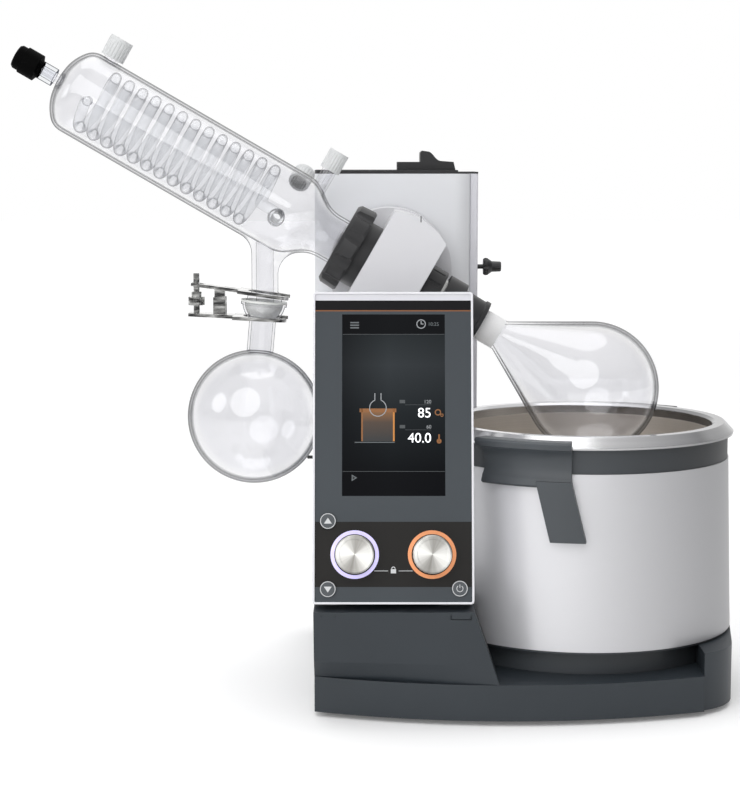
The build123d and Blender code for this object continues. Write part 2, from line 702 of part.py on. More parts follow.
def carriage():
    """The casting that rides the rods and holds the tilt pivot."""
    guide = box(
        -CARRIAGE_HALF_WIDTH,
        CARRIAGE_HALF_WIDTH,
        CARRIAGE_SPINE_FRONT,
        ROD_Y + ROD_RADIUS + 10,
        CARRIAGE_BOTTOM,
        CARRIAGE_GUIDE_TOP,
    )
    waist = box(
        -CARRIAGE_HALF_WIDTH - 1,
        CARRIAGE_HALF_WIDTH + 1,
        CARRIAGE_SPINE_BACK,
        MAST_BACK,
        CARRIAGE_BOTTOM + 26,
        CARRIAGE_GUIDE_TOP - 26,
    )
    nut_web = box(
        -NUT_RADIUS - 9,
        NUT_RADIUS + 9,
        CARRIAGE_SPINE_BACK - 1,
        ROD_Y + NUT_RADIUS + 3,
        NUT_BOTTOM,
        NUT_BOTTOM + NUT_LENGTH,
    )
    spine = box(
        -PIVOT_BLOCK_HALF,
        PIVOT_BLOCK_HALF,
        CARRIAGE_SPINE_FRONT,
        CARRIAGE_SPINE_BACK,
        CARRIAGE_GUIDE_TOP - 1,
        PIVOT_Z + PIVOT_BLOCK_HALF,
    )
    block = box(
        -PIVOT_BLOCK_HALF,
        PIVOT_BLOCK_HALF,
        PIVOT_BLOCK_FRONT,
        CARRIAGE_SPINE_BACK,
        PIVOT_Z - PIVOT_BLOCK_HALF,
        PIVOT_Z + PIVOT_BLOCK_HALF,
    )
    body = guide - waist + nut_web + spine + block
    for spot in rod_spots():
        body = body - spot * rod(ROD_RADIUS + RUN_FIT, CARRIAGE_BOTTOM - 1, CARRIAGE_GUIDE_TOP + 1)
    screw_line = Location((0, ROD_Y, 0))
    body = body - screw_line * rod(SCREW_RADIUS + 3, CARRIAGE_BOTTOM - 1, CARRIAGE_GUIDE_TOP + 1)
    body = body - screw_line * rod(NUT_RADIUS, NUT_BOTTOM - 1, NUT_BOTTOM + NUT_LENGTH + 1)
    bore = rod(TRUNNION_RADIUS + RUN_FIT, PIVOT_BLOCK_FRONT - 1, CARRIAGE_SPINE_BACK + 1)
    body = body - along_y(0, 0, PIVOT_Z) * bore
    return body - along_x(0, LOCK_Y, LOCK_Z) * rod(LOCK_SHAFT_RADIUS + RUN_FIT, 0, PIVOT_BLOCK_HALF + 1)


def lift_nut():
    """The bronze nut held in the carriage."""
    nut = tube(NUT_RADIUS, SCREW_RADIUS + RUN_FIT, NUT_BOTTOM, NUT_BOTTOM + NUT_LENGTH)
    return Location((0, ROD_Y, 0)) * nut


# Tower hood

HOOD_TRUNNION_HOLE = TRUNNION_RADIUS + 5
CAP_STEP_X = 70.0
CAP_LOW_THICKNESS = 1.8


def tower_hood():
    """The light shell round the mast, open below, that rises with the head."""
    outer = rounded_box(HOOD_LEFT, HOOD_RIGHT, HOOD_FRONT, HOOD_BACK, HOOD_BOTTOM, HOOD_TOP, HOOD_CORNER)
    inner = rounded_box(
        HOOD_LEFT + SHELL_WALL,
        HOOD_RIGHT - SHELL_WALL,
        HOOD_FRONT + SHELL_WALL,
        HOOD_BACK - SHELL_WALL,
        HOOD_BOTTOM - 1,
        HOOD_TOP - SHELL_WALL,
        HOOD_CORNER - SHELL_WALL,
    )
    hood = outer - inner
    trunnion_hole = rod(HOOD_TRUNNION_HOLE, HOOD_FRONT - 1, HOOD_FRONT + SHELL_WALL + 1)
    hood = hood - along_y(0, 0, PIVOT_Z) * trunnion_hole
    lock_hole = rod(LOCK_HOLE_RADIUS, HOOD_RIGHT - SHELL_WALL - 1, HOOD_RIGHT + 1)
    return hood - along_x(0, LOCK_Y, LOCK_Z) * lock_hole


def hood_side_trim():
    """The raised trim along the hood's right side, bored for the tilt lock."""
    back = HOOD_BACK - HOOD_CORNER
    trim = box(HOOD_RIGHT, HOOD_TRIM_RIGHT, HOOD_TRIM_FRONT, back, HOOD_BOTTOM, HOOD_TOP)
    trim = fillet(trim.edges().filter_by(Axis.Z).group_by(Axis.X)[-1], 2)
    return trim - along_x(0, LOCK_Y, LOCK_Z) * rod(LOCK_HOLE_RADIUS, HOOD_RIGHT - 1, HOOD_TRIM_RIGHT + 1)


def hood_top_cap():
    """The thin dark plate on the hood, lower along its right edge and over the side trim."""
    low = HOOD_TOP + CAP_LOW_THICKNESS
    cap = rounded_box(HOOD_LEFT, HOOD_RIGHT, HOOD_FRONT, HOOD_BACK, HOOD_TOP, HOOD_CAP_TOP, HOOD_CORNER)
    cap = cap - box(CAP_STEP_X, HOOD_RIGHT + 1, HOOD_FRONT - 1, HOOD_BACK + 1, low, HOOD_CAP_TOP + 1)
    side = box(CAP_STEP_X, HOOD_TRIM_RIGHT, HOOD_TRIM_FRONT, HOOD_BACK - HOOD_CORNER, HOOD_TOP, low)
    return cap + side


def hose_guide():
    """The block on the hood that guides the hoses: a flat back and a hump with a sloping side."""
    outline = [
        Line((GUIDE_BLOCK_LEFT, HOOD_CAP_TOP), (GUIDE_BLOCK_RIGHT, HOOD_CAP_TOP)),
        Line((GUIDE_BLOCK_RIGHT, HOOD_CAP_TOP), (GUIDE_BLOCK_RIGHT - 2, GUIDE_BLOCK_TOP)),
        Line((GUIDE_BLOCK_RIGHT - 2, GUIDE_BLOCK_TOP), (GUIDE_HUMP_LEFT + 21, GUIDE_BLOCK_TOP + 1)),
        Spline(
            [(GUIDE_HUMP_LEFT + 21, GUIDE_BLOCK_TOP + 1), (GUIDE_HUMP_LEFT + 9, GUIDE_HUMP_TOP - 1)],
            tangents=[(-1, 0.2), (-1, 0.4)],
        ),
        Line((GUIDE_HUMP_LEFT + 9, GUIDE_HUMP_TOP - 1), (GUIDE_HUMP_LEFT + 2, GUIDE_HUMP_TOP)),
        Line((GUIDE_HUMP_LEFT + 2, GUIDE_HUMP_TOP), (GUIDE_HUMP_LEFT, GUIDE_HUMP_TOP - 2)),
        Line((GUIDE_HUMP_LEFT, GUIDE_HUMP_TOP - 2), (GUIDE_HUMP_LEFT, GUIDE_BLOCK_TOP)),
        Line((GUIDE_HUMP_LEFT, GUIDE_BLOCK_TOP), (GUIDE_BLOCK_LEFT, GUIDE_BLOCK_TOP)),
        Line((GUIDE_BLOCK_LEFT, GUIDE_BLOCK_TOP), (GUIDE_BLOCK_LEFT, HOOD_CAP_TOP)),
    ]
    front = HOOD_FRONT + HOOD_CORNER
    return Location((0, front, 0)) * (Plane.XZ * extrude(make_face(outline), -GUIDE_DEPTH))


def side_nipple():
    """A hose nipple on a thin round escutcheon on the hood's left wall."""
    here = along_x(HOOD_LEFT, NIPPLE_Y, NIPPLE_Z)
    plate = rod(ESCUTCHEON_RADIUS, -1.5, 0)
    stem = lathe([(-9.5, 0), (-9.5, 1.4), (-7.5, 2.1), (-7.5, 1.75), (-1, 1.75), (-1, 0)])
    return here * (plate + stem)


def tilt_lock_knob():
    """The small fluted knob whose screw clamps the tilt pivot."""
    tip = TRUNNION_RADIUS + 0.3
    knob = lathe(
        [
            (tip, 0),
            (tip, LOCK_SHAFT_RADIUS),
            (HOOD_TRIM_RIGHT, LOCK_SHAFT_RADIUS),
            (HOOD_TRIM_RIGHT, LOCK_NECK_RADIUS),
            (LOCK_KNOB_NEAR, LOCK_NECK_RADIUS),
            (LOCK_KNOB_NEAR, LOCK_KNOB_RADIUS - 1.2),
            (LOCK_KNOB_NEAR + 2, LOCK_KNOB_RADIUS),
            (LOCK_KNOB_NEAR + 4.5, LOCK_KNOB_RADIUS - 0.4),
            (LOCK_KNOB_NEAR + 9, LOCK_GRIP_RADIUS + 0.4),
            (LOCK_KNOB_FAR - 0.8, LOCK_GRIP_RADIUS),
            (LOCK_KNOB_FAR, LOCK_GRIP_RADIUS - 0.8),
            (LOCK_KNOB_FAR, 0),
        ]
    )
    flute = rod(2.2, LOCK_KNOB_NEAR - 1, LOCK_KNOB_NEAR + 9)
    for place in around(LOCK_FLUTES, LOCK_KNOB_RADIUS + 0.8):
        knob = knob - place * flute
    return along_x(0, LOCK_Y, LOCK_Z) * knob


# Drive head

BELT_START = PULLEY_START + 1.5
BELT_WIDTH = PULLEY_WIDTH - 3
MOTOR_FACE = PULLEY_START - 2
COVER_BACK = DRUM_FRONT + DRUM_COVER


def drum_slice(radius, front, back):
    """The front drum between two depths: a disc about the tilt axis cut by the two flats."""
    disc = along_y(0, 0, PIVOT_Z) * rod(radius, front, back)
    reach = 2 * DRUM_RADIUS
    between_flats = ROTOR * box(-reach, reach, -reach, reach, DRUM_FLAT_UPPER, DRUM_FLAT_LOWER)
    return disc & between_flats


def belt_path(gap):
    """The loop round both pulleys, as a flat shape drawn across the rotor axis."""
    big = Circle(PULLEY_RADIUS + gap)
    small = Location((0, -MOTOR_Y)) * Circle(MOTOR_PULLEY_RADIUS + gap)
    return make_hull([*big.edges(), *small.edges()])


def at_motor(shape):
    """A shape moved to the motor's line, which runs beside the rotor axis."""
    return ROTOR * (Location((0, -MOTOR_Y, 0)) * shape)


def drive_housing():
    """The drum casting: bearing seats, belt room and motor room."""
    drum = drum_slice(DRUM_FRONT_RADIUS, COVER_BACK, DRUM_SHOULDER + 1)
    drum = drum + along_y(0, 0, PIVOT_Z) * rod(DRUM_RADIUS, DRUM_SHOULDER, DRUM_BACK)
    drum = drum - ROTOR * rod(BEARING_RADIUS, DRUM_FLAT_UPPER - 1, DRUM_FLAT_LOWER + 1)
    belt_room = extrude(belt_path(BELT_THICKNESS + 2.5), PULLEY_WIDTH + 4)
    drum = drum - ROTOR * (Location((0, 0, PULLEY_START - 2)) * belt_room)
    return drum - at_motor(rod(MOTOR_RADIUS, MOTOR_FACE - MOTOR_LENGTH, MOTOR_FACE + 1))


def drum_cover():
    """The flat front cover of the drum."""
    return drum_slice(DRUM_FRONT_RADIUS, DRUM_FRONT, COVER_BACK)


def pivot_trunnion():
    """The hollow tilt shaft behind the drum, held in the carriage by a ring nut."""
    shaft = rod(TRUNNION_RADIUS, DRUM_BACK, CARRIAGE_SPINE_BACK + TRUNNION_NUT_THICKNESS + 0.3)
    nut_start = CARRIAGE_SPINE_BACK + 0.3
    ring = rod(TRUNNION_NUT_RADIUS, nut_start, nut_start + TRUNNION_NUT_THICKNESS)
    bore = rod(TRUNNION_RADIUS - 9, DRUM_BACK - 1, nut_start + TRUNNION_NUT_THICKNESS + 1)
    return along_y(0, 0, PIVOT_Z) * (shaft + ring - bore)


def rotor_bearings():
    """Two deep-groove bearings, each an outer and an inner ring joined by its balls."""
    rings = []
    for start in (BEARING_UPPER, BEARING_LOWER):
        ring = tube(BEARING_RADIUS, HUB_RADIUS + RUN_FIT, start, start + BEARING_WIDTH)
        groove = tube(BEARING_RADIUS - BEARING_RACE, HUB_RADIUS + BEARING_RACE, start, start + BEARING_GROOVE)
        far_groove = Location((0, 0, BEARING_WIDTH - BEARING_GROOVE)) * groove
        rings.append(ROTOR * (ring - groove - far_groove))
    return Compound(rings)


def drive_motor():
    """The motor beside the rotor, inside the drum."""
    can = tube(MOTOR_RADIUS, MOTOR_SHAFT_RADIUS + RUN_FIT, MOTOR_FACE - MOTOR_LENGTH, MOTOR_FACE)
    return at_motor(can)


def motor_pulley():
    """The small pulley and its shaft."""
    wheel = rod(MOTOR_PULLEY_RADIUS, PULLEY_START, PULLEY_START + PULLEY_WIDTH)
    shaft = rod(MOTOR_SHAFT_RADIUS, MOTOR_FACE - MOTOR_LENGTH, PULLEY_START + 1)
    return at_motor(wheel + shaft)


def drive_belt():
    """The belt loop from motor pulley to rotor pulley."""
    loop = belt_path(RUN_FIT + BELT_THICKNESS) - belt_path(RUN_FIT)
    return ROTOR * (Location((0, 0, BELT_START)) * extrude(loop, BELT_WIDTH))


# Rotor

HUB_START = -FLANGE_RING_END + 1
HUB_BORE = VAPOUR_RADIUS + 0.6


def rotor_hub():
    """The hollow hub: journals, belt pulley, clip shoulder and the seat of the vapour tube."""
    hub = tube(HUB_RADIUS, HUB_BORE, HUB_START, CLIP_STEP)
    pulley = tube(PULLEY_RADIUS, HUB_RADIUS - 1, PULLEY_START, PULLEY_START + PULLEY_WIDTH)
    return ROTOR * (hub + pulley + tube(HUB_RADIUS + 3, HUB_RADIUS - 1, COLLAR_END, CLIP_START))


def hub_collar():
    """The ribbed collar outside the drum."""
    collar = tube(COLLAR_RADIUS, HUB_RADIUS, COLLAR_START, COLLAR_END)
    flute = rod(1.5, COLLAR_START + 2.5, COLLAR_END - 2.5)
    for place in around(COLLAR_FLUTES, COLLAR_RADIUS + 0.5):
        collar = collar - place * flute
    return ROTOR * collar


def flask_clip():
    """The black bayonet clip: a wide part with its release button and a sleeve over the flask neck."""
    wide = tube(CLIP_RADIUS, HUB_RADIUS, CLIP_START, CLIP_STEP)
    sleeve = lathe(
        [
            (CLIP_STEP - 1, HUB_RADIUS),
            (CLIP_STEP - 1, CLIP_SLEEVE_RADIUS),
            (CLIP_END - 5, CLIP_SLEEVE_RADIUS - 0.6),
            (CLIP_END - 4, CLIP_SLEEVE_RADIUS + 0.8),
            (CLIP_END, CLIP_SLEEVE_RADIUS + 0.8),
            (CLIP_END, FLASK_NECK_RADIUS + CLEAR),
            (CLIP_END - 12, FLASK_NECK_RADIUS + CLEAR),
            (CLIP_END - 12, HUB_RADIUS),
        ]
    )
    middle = (CLIP_START + CLIP_STEP) / 2
    button = along_y(0, 0, middle) * rod(CLIP_BUTTON_RADIUS, HUB_RADIUS + 2, CLIP_RADIUS + 1.6)
    return ROTOR * (wide + sleeve + button)


def vapour_tube():
    """The glass vapour tube through the hub, with the ground taper that carries the flask."""
    taper_start = FLASK_MOUTH
    taper_end = taper_start + TAPER_LENGTH
    profile = [
        (VAPOUR_START, VAPOUR_BORE),
        (VAPOUR_START, VAPOUR_RADIUS),
        (CLIP_STEP, VAPOUR_RADIUS),
        (CLIP_STEP, HUB_RADIUS - 1.5),
        (taper_start, HUB_RADIUS - 1.5),
        (taper_start, TAPER_START_RADIUS),
        (taper_end, TAPER_END_RADIUS),
        (taper_end, VAPOUR_BORE),
    ]
    return ROTOR * lathe(profile)


def flask_profile(radius, neck_radius, mouth, closed_end):
    """Edges of a round flask: straight neck, tangent cone and sphere, drawn as (radius, height)."""
    lean = math.radians(FLASK_CONE_ANGLE)
    touch = (radius * math.cos(lean), FLASK_CENTRE - radius * math.sin(lean))
    neck_end = (neck_radius, touch[1] - (touch[0] - neck_radius) / math.tan(lean))
    belly = (radius * math.cos(lean / 2), FLASK_CENTRE + radius * math.sin(lean / 2))
    return [
        Line((0, mouth), (neck_radius, mouth)),
        Line((neck_radius, mouth), neck_end),
        Line(neck_end, touch),
        ThreePointArc(touch, belly, (0, closed_end)),
        Line((0, closed_end), (0, mouth)),
    ]


def evaporating_flask():
    """The pear-shaped evaporating flask with its ground neck."""
    closed_end = FLASK_CENTRE + FLASK_RADIUS
    outer = lathe_edges(*flask_profile(FLASK_RADIUS, FLASK_NECK_RADIUS, FLASK_MOUTH, closed_end))
    inner_radius = FLASK_RADIUS - GLASS_WALL
    taper_end = FLASK_MOUTH + TAPER_LENGTH
    inner = lathe_edges(
        *flask_profile(inner_radius, TAPER_END_RADIUS, taper_end - 1, FLASK_CENTRE + inner_radius)
    )
    socket = lathe(
        [(FLASK_MOUTH, 0), (FLASK_MOUTH, TAPER_START_RADIUS), (taper_end, TAPER_END_RADIUS), (taper_end, 0)]
    )
    lip = tube(FLASK_NECK_RADIUS + 1.6, TAPER_START_RADIUS + 1, FLASK_MOUTH, FLASK_MOUTH + 4)
    return ROTOR * (outer + lip - inner - socket)


# Condenser side, on the axis that runs up from the pivot

FLANGE_BORE = HUB_RADIUS + 2.0
SEAL_START = FLANGE_RING_END + 0.2
COOLANT_DROP = 6.0
COOLANT_DROP_ANGLE = math.degrees(math.atan2(COOLANT_DROP, BODY_RADIUS))
COIL_LEG_RADIUS = PORT_BORE - 0.05
COIL_LIP = 1.2
DRAIN_TOP = BALL_Z + 72


def coupling_flange():
    """The black ring on the drum and the threaded spigot that the union nut pulls on."""
    ring = tube(FLANGE_RING_RADIUS, FLANGE_BORE, FLANGE_START, FLANGE_RING_END)
    return CONDENSER * (ring + tube(FLANGE_SPIGOT_RADIUS, FLANGE_BORE, FLANGE_RING_END, FLANGE_SPIGOT_END))


def vacuum_seal():
    """The lip seal between the spigot and the turning vapour tube."""
    return CONDENSER * lathe(
        [
            (SEAL_START, VAPOUR_RADIUS + 1.5),
            (SEAL_START, FLANGE_BORE),
            (FLANGE_SPIGOT_END, FLANGE_BORE),
            (FLANGE_SPIGOT_END, VAPOUR_RADIUS + RUN_FIT),
            (FLANGE_SPIGOT_END - 3, VAPOUR_RADIUS + RUN_FIT),
        ]
    )


def union_nut():
    """The scalloped union nut that pulls the condenser's bead onto the spigot."""
    nut = lathe(
        [
            (FLANGE_RING_END, FLANGE_SPIGOT_RADIUS + RUN_FIT),
            (FLANGE_RING_END, UNION_NUT_RADIUS - 1.5),
            (FLANGE_RING_END + 2, UNION_NUT_RADIUS),
            (NUT_END - 3, UNION_NUT_RADIUS - 1),
            (NUT_END, UNION_NUT_RADIUS - 4),
            (NUT_END, NECK_RADIUS + 1),
            (BEAD_END + 0.3, NECK_RADIUS + 1),
            (BEAD_END + 0.3, FLANGE_SPIGOT_RADIUS + RUN_FIT),
        ]
    )
    scallop = rod(9, FLANGE_RING_END - 1, NUT_END + 1)
    for place in around(UNION_NUT_SCALLOPS, UNION_NUT_RADIUS + 6):
        nut = nut - place * scallop
    return CONDENSER * nut


def jacket_profile(inset, start):
    """Edges of the condenser's wall drawn in by an inset, as (radius, height), open at a start height."""
    neck = NECK_RADIUS - inset
    body = BODY_RADIUS - inset
    dome = DOME_END - inset
    tip = TIP_RADIUS - inset * 0.9
    tip_end = TIP_END + inset
    shoulder_mid = ((neck + body) / 2, (NECK_END + BODY_START) / 2)
    crown = (body * 0.78, BODY_END + (dome - BODY_END) * 0.66)
    return [
        Line((0, start), (neck, start)),
        Line((neck, start), (neck, NECK_END)),
        Spline([(neck, NECK_END), shoulder_mid, (body, BODY_START)], tangents=[(0, 1), (0, 1)]),
        Line((body, BODY_START), (body, BODY_END)),
        Spline([(body, BODY_END), crown, (tip, dome)], tangents=[(0, 1), (-1, 0)]),
        Line((tip, dome), (tip, tip_end)),
        Line((tip, tip_end), (0, tip_end)),
        Line((0, tip_end), (0, start)),
    ]


def port_places():
    """The condenser's four screw ports: where each stands and how far it reaches from the axis."""
    return {
        "vent": (radial(VENT_STATION, 0), BODY_RADIUS + 10.2),
        "feed": (radial(FEED_STATION, 0), BODY_RADIUS + 22.2),
        "coolant_front": (radial(COOLANT_STATION, -90 - COOLANT_DROP_ANGLE), BODY_RADIUS + 16.2),
        "coolant_rear": (radial(COOLANT_STATION, COOLANT_REAR_ANGLE), BODY_RADIUS + 14.2),
    }


def barrel_with_drain():
    """The solid barrel with the drain's neck below it, blended by a wide throat."""
    barrel = CONDENSER * lathe_edges(*jacket_profile(0, FLANGE_SPIGOT_END))
    both = barrel + Location((OUTLET_X, 0, 0)) * rod(OUTLET_RADIUS, BALL_Z, DRAIN_TOP)
    seam = [
        edge
        for edge in both.edges()
        if edge.geom_type != GeomType.LINE
        and abs(edge.center().X - OUTLET_X) < 2 * OUTLET_RADIUS
        and BALL_Z + BALL_RADIUS < edge.center().Z < DRAIN_TOP
    ]
    return fillet(seam, OUTLET_THROAT)


def condenser_jacket():
    """The glass jacket: bead, shoulder, long barrel, dome, four screw ports and the drain with its ball."""
    wall = barrel_with_drain()
    wall = wall + CONDENSER * rod(BEAD_RADIUS, FLANGE_SPIGOT_END, BEAD_END)
    for place, reach in port_places().values():
        wall = wall + place * rod(PORT_RADIUS, 24, reach)
        for ridge in range(3):
            start = reach - 3 - 3 * ridge
            wall = wall + place * rod(PORT_RADIUS + 0.9, start, start + 1.4)
    drain = Location((OUTLET_X, 0, 0))
    wall = wall + Location((BALL_X, 0, BALL_Z)) * Sphere(BALL_RADIUS)
    wall = wall - CONDENSER * lathe_edges(*jacket_profile(GLASS_WALL, FLANGE_SPIGOT_END - 1))
    for place, reach in port_places().values():
        wall = wall - place * rod(PORT_BORE, 20, reach + 1)
    return wall - drain * rod(OUTLET_BORE, BALL_Z - BALL_RADIUS - 1, DRAIN_TOP)


def wound_tube(radius, pitch, turns, tube_radius):
    """A round tube wound about local Z from the height of the coil's start."""
    path = Helix(pitch=pitch, height=pitch * turns, radius=radius)
    section = Plane(origin=path @ 0, z_dir=path % 0) * Circle(tube_radius)
    return Location((0, 0, COIL_START)) * sweep(section, path=path)


def coil_leg(radius, tube_radius, reach):
    """The leg from a winding's lower end down and out through a port, drawn at angle 0."""
    down = Location((radius, 0, 0)) * rod(tube_radius, COOLANT_STATION, COIL_START)
    heights = (COOLANT_STATION, COIL_START)
    knees = [Location((radius, 0, height)) * Sphere(tube_radius) for height in heights]
    outward = along_x(0, 0, COOLANT_STATION)
    out = outward * rod(COIL_LEG_RADIUS, radius, reach)
    lip = outward * rod(PORT_RADIUS - 1, reach, reach + COIL_LIP)
    return down + knees[0] + knees[1] + out + lip


def cooling_coil():
    """The glass coil: a wide winding up from the front port and a narrow one down to the rear port."""
    places = port_places()
    start_angle = -90 - COOLANT_DROP_ANGLE
    return_turns = RETURN_TURNS + ((start_angle - COOLANT_REAR_ANGLE) % 360) / 360
    rise = COIL_TURNS * COIL_PITCH
    wide = wound_tube(COIL_RADIUS, COIL_PITCH, COIL_TURNS, COIL_TUBE_RADIUS)
    wide = wide + coil_leg(COIL_RADIUS, COIL_TUBE_RADIUS, places["coolant_front"][1])
    bridge = along_x(0, 0, COIL_START + rise) * rod(RETURN_TUBE_RADIUS, RETURN_RADIUS, COIL_RADIUS)
    wide = wide + bridge + Location((COIL_RADIUS, 0, COIL_START + rise)) * Sphere(COIL_TUBE_RADIUS)
    narrow = wound_tube(RETURN_RADIUS, rise / return_turns, return_turns, RETURN_TUBE_RADIUS)
    narrow = narrow + coil_leg(RETURN_RADIUS, RETURN_TUBE_RADIUS, places["coolant_rear"][1])
    coil = Rot(0, 0, start_angle) * wide + Rot(0, 0, COOLANT_REAR_ANGLE) * narrow
    knee = Location((RETURN_RADIUS, 0, COIL_START + rise)) * Sphere(RETURN_TUBE_RADIUS)
    return CONDENSER * (coil + Rot(0, 0, start_angle) * knee)


def screw_cap(seat, top, radius):
    """A ribbed screw cap, closed at the outer end."""
    cap = rod(radius, seat, top)
    flute = rod(1.2, seat - 1, top - 3)
    for place in around(CAP_FLUTES, radius + 0.7):
        cap = cap - place * flute
    return cap


def port_cap(port, seat, top, radius):
    """The cap of one port, bored to run over the stub with a small clearance."""
    place, reach = port_places()[port]
    cap = screw_cap(seat, top, radius)
    bore = rod(PORT_RADIUS + 0.9 + RUN_FIT, seat - 1, reach + COIL_LIP + 0.2)
    return place * (cap - bore)


def end_cap():
    """The black cap on the condenser's upper tip, stepped, with a lip."""
    bore = TIP_RADIUS + RUN_FIT
    return CONDENSER * lathe(
        [
            (DOME_END + 5, bore),
            (DOME_END + 5, END_CAP_RADIUS - 4.5),
            (TIP_END - 2, END_CAP_RADIUS - 4.5),
            (TIP_END, END_CAP_RADIUS),
            (END_CAP_END - 8, END_CAP_RADIUS),
            (END_CAP_END - 7, END_CAP_RADIUS - 1.4),
            (END_CAP_END - 2, END_CAP_RADIUS - 1.4),
            (END_CAP_END, END_CAP_RADIUS - 3),
            (END_CAP_END, 0),
            (TIP_END + GLASS_WALL, 0),
            (TIP_END + GLASS_WALL, bore),
        ]
    )


# Receiving side

LINER_RADIUS = BALL_RADIUS + LINER_WALL
CUP_RADIUS = LINER_RADIUS + GLASS_WALL


def joint_liner():
    """The white liner between ball and cup, with a flange that rests on the cup's rim."""
    shell = Sphere(LINER_RADIUS) - Sphere(BALL_RADIUS + RUN_FIT)
    keep = rod(LINER_FLANGE_RADIUS, 0, 13.5)
    flange = tube(LINER_FLANGE_RADIUS, BALL_RADIUS + 0.4, -2.2, 0)
    return RECEIVER * ((shell & keep) + flange)


def receiving_flask():
    """The round receiving flask with its spherical cup."""
    neck_start = 14.0
    neck_end = RECEIVER_DROP - math.sqrt(RECEIVER_RADIUS**2 - RECEIVER_NECK_RADIUS**2) + 2
    cup = Sphere(CUP_RADIUS) & rod(CUP_RADIUS + 1, 0.1, CUP_RADIUS)
    rim = rod(LINER_FLANGE_RADIUS, 0.1, 2.6)
    ball = Location((0, 0, RECEIVER_DROP)) * Sphere(RECEIVER_RADIUS)
    flask = cup + rim + rod(RECEIVER_NECK_RADIUS, neck_start, neck_end) + ball
    hollow = Location((0, 0, RECEIVER_DROP)) * Sphere(RECEIVER_RADIUS - GLASS_WALL)
    bore = rod(RECEIVER_NECK_RADIUS - GLASS_WALL, 5, neck_end + 4)
    return RECEIVER * (flask - Sphere(LINER_RADIUS + RUN_FIT) - hollow - bore)


def clamp_jaw(slot, slope, z):
    """One fork of the clamp: a plate about the pin, slotted round the joint, at a height over the pin."""
    length_out = CLAMP_TIP_X - CLAMP_PIN_X
    length_back = CLAMP_TAIL_X - CLAMP_PIN_X
    middle = BALL_X - CLAMP_PIN_X
    plate = rounded_box(length_back, length_out, -CLAMP_HALF_WIDTH, CLAMP_HALF_WIDTH, z, z + CLAMP_SHEET, 9)
    waist = box(length_back - 1, middle - slot - 9, 11, CLAMP_HALF_WIDTH + 1, z - 1, z + CLAMP_SHEET + 1)
    plate = plate - waist - mirror(waist, Plane.XZ)
    plate = plate - Location((middle, 0, 0)) * rod(slot, z - 1, z + CLAMP_SHEET + 1)
    plate = plate - box(middle, length_out + 1, -slot, slot, z - 1, z + CLAMP_SHEET + 1)
    return Location((CLAMP_PIN_X, 0, CLAMP_PIN_Z)) * (Rot(0, slope, 0) * plate)


PIN_RADIUS = 2.5
LUG_HALF_GAP = 5.0
LUG_OUTER = 9.5
CLAMP_SCREW_RADIUS = 3.0
CLAMP_STUD_RISE = 28.0
STUD_HOLE_RADIUS = CLAMP_SCREW_RADIUS + 1.6
STUD_SLOT = 3.0
UPPER_PLATE_Z = 12.0
NUT_HUB_TOP = 10.0
LOWER_PLATE_Z = -15.0


def clamp_lower_jaw():
    """The fixed fork under the cup, with lugs and hinge pin for the upper fork and the clamping stud."""
    jaw = clamp_jaw(CUP_RADIUS - 1.2, CLAMP_LOWER_SLOPE, LOWER_PLATE_Z)
    pin = along_y(CLAMP_PIN_X, 0, CLAMP_PIN_Z)
    for side in (-1, 1):
        inner, outer = sorted((side * LUG_HALF_GAP, side * LUG_OUTER))
        lug = box(-6, 6, inner, outer, LOWER_PLATE_Z + 1, 5)
        jaw = jaw + Location((CLAMP_PIN_X, 0, CLAMP_PIN_Z)) * lug
    foot = CLAMP_PIN_Z + LOWER_PLATE_Z + 1
    stud = Location((CLAMP_SCREW_X, 0, 0)) * rod(CLAMP_SCREW_RADIUS, foot, CLAMP_PIN_Z + CLAMP_STUD_RISE)
    return jaw + pin * rod(PIN_RADIUS, -LUG_OUTER, LUG_OUTER) + stud


def clamp_upper_jaw():
    """The hinged fork over the ball, with a knuckle on the pin and a slot that clears the stud as it opens."""
    jaw = clamp_jaw(BALL_RADIUS - 0.4, CLAMP_UPPER_SLOPE, UPPER_PLATE_Z)
    pin = along_y(CLAMP_PIN_X, 0, CLAMP_PIN_Z)
    reach = LUG_HALF_GAP - 0.2
    knuckle = pin * rod(6, -reach, reach)
    web = box(CLAMP_PIN_X - 5, CLAMP_PIN_X + 5, -reach, reach, CLAMP_PIN_Z, CLAMP_PIN_Z + UPPER_PLATE_Z + 1)
    jaw = jaw + knuckle + web - pin * rod(PIN_RADIUS + RUN_FIT, -LUG_OUTER - 1, LUG_OUTER + 1)
    slot = Location((CLAMP_SCREW_X + STUD_SLOT / 2, 0)) * SlotCenterToCenter(STUD_SLOT, 2 * STUD_HOLE_RADIUS)
    return jaw - slab(slot, CLAMP_PIN_Z - 5, CLAMP_PIN_Z + 40)


def clamp_nut():
    """The knurled nut on the stud, under the tail of the upper fork."""
    nut = tube(CLAMP_NUT_RADIUS, CLAMP_SCREW_RADIUS + RUN_FIT, CLAMP_PIN_Z - 3, CLAMP_PIN_Z + 5)
    for place in around(CLAMP_NUT_KNURLS, CLAMP_NUT_RADIUS + 0.5):
        nut = nut - place * rod(1.0, CLAMP_PIN_Z - 4, CLAMP_PIN_Z + 6)
    hub = tube(5, CLAMP_SCREW_RADIUS + RUN_FIT, CLAMP_PIN_Z + 4, CLAMP_PIN_Z + NUT_HUB_TOP)
    return Location((CLAMP_SCREW_X, 0, 0)) * (nut + hub)


# Heating bath

BOWL_OUTER = BATH_BOWL_RADIUS + BATH_SHEET
HEATER_BOTTOM = BATH_FLOOR_Z - BATH_SHEET - HEATER_THICKNESS
FOOT_FLOOR = BASE_TOP + 4.0
FOOT_RING_RADIUS = DOCK_INNER - CLEAR


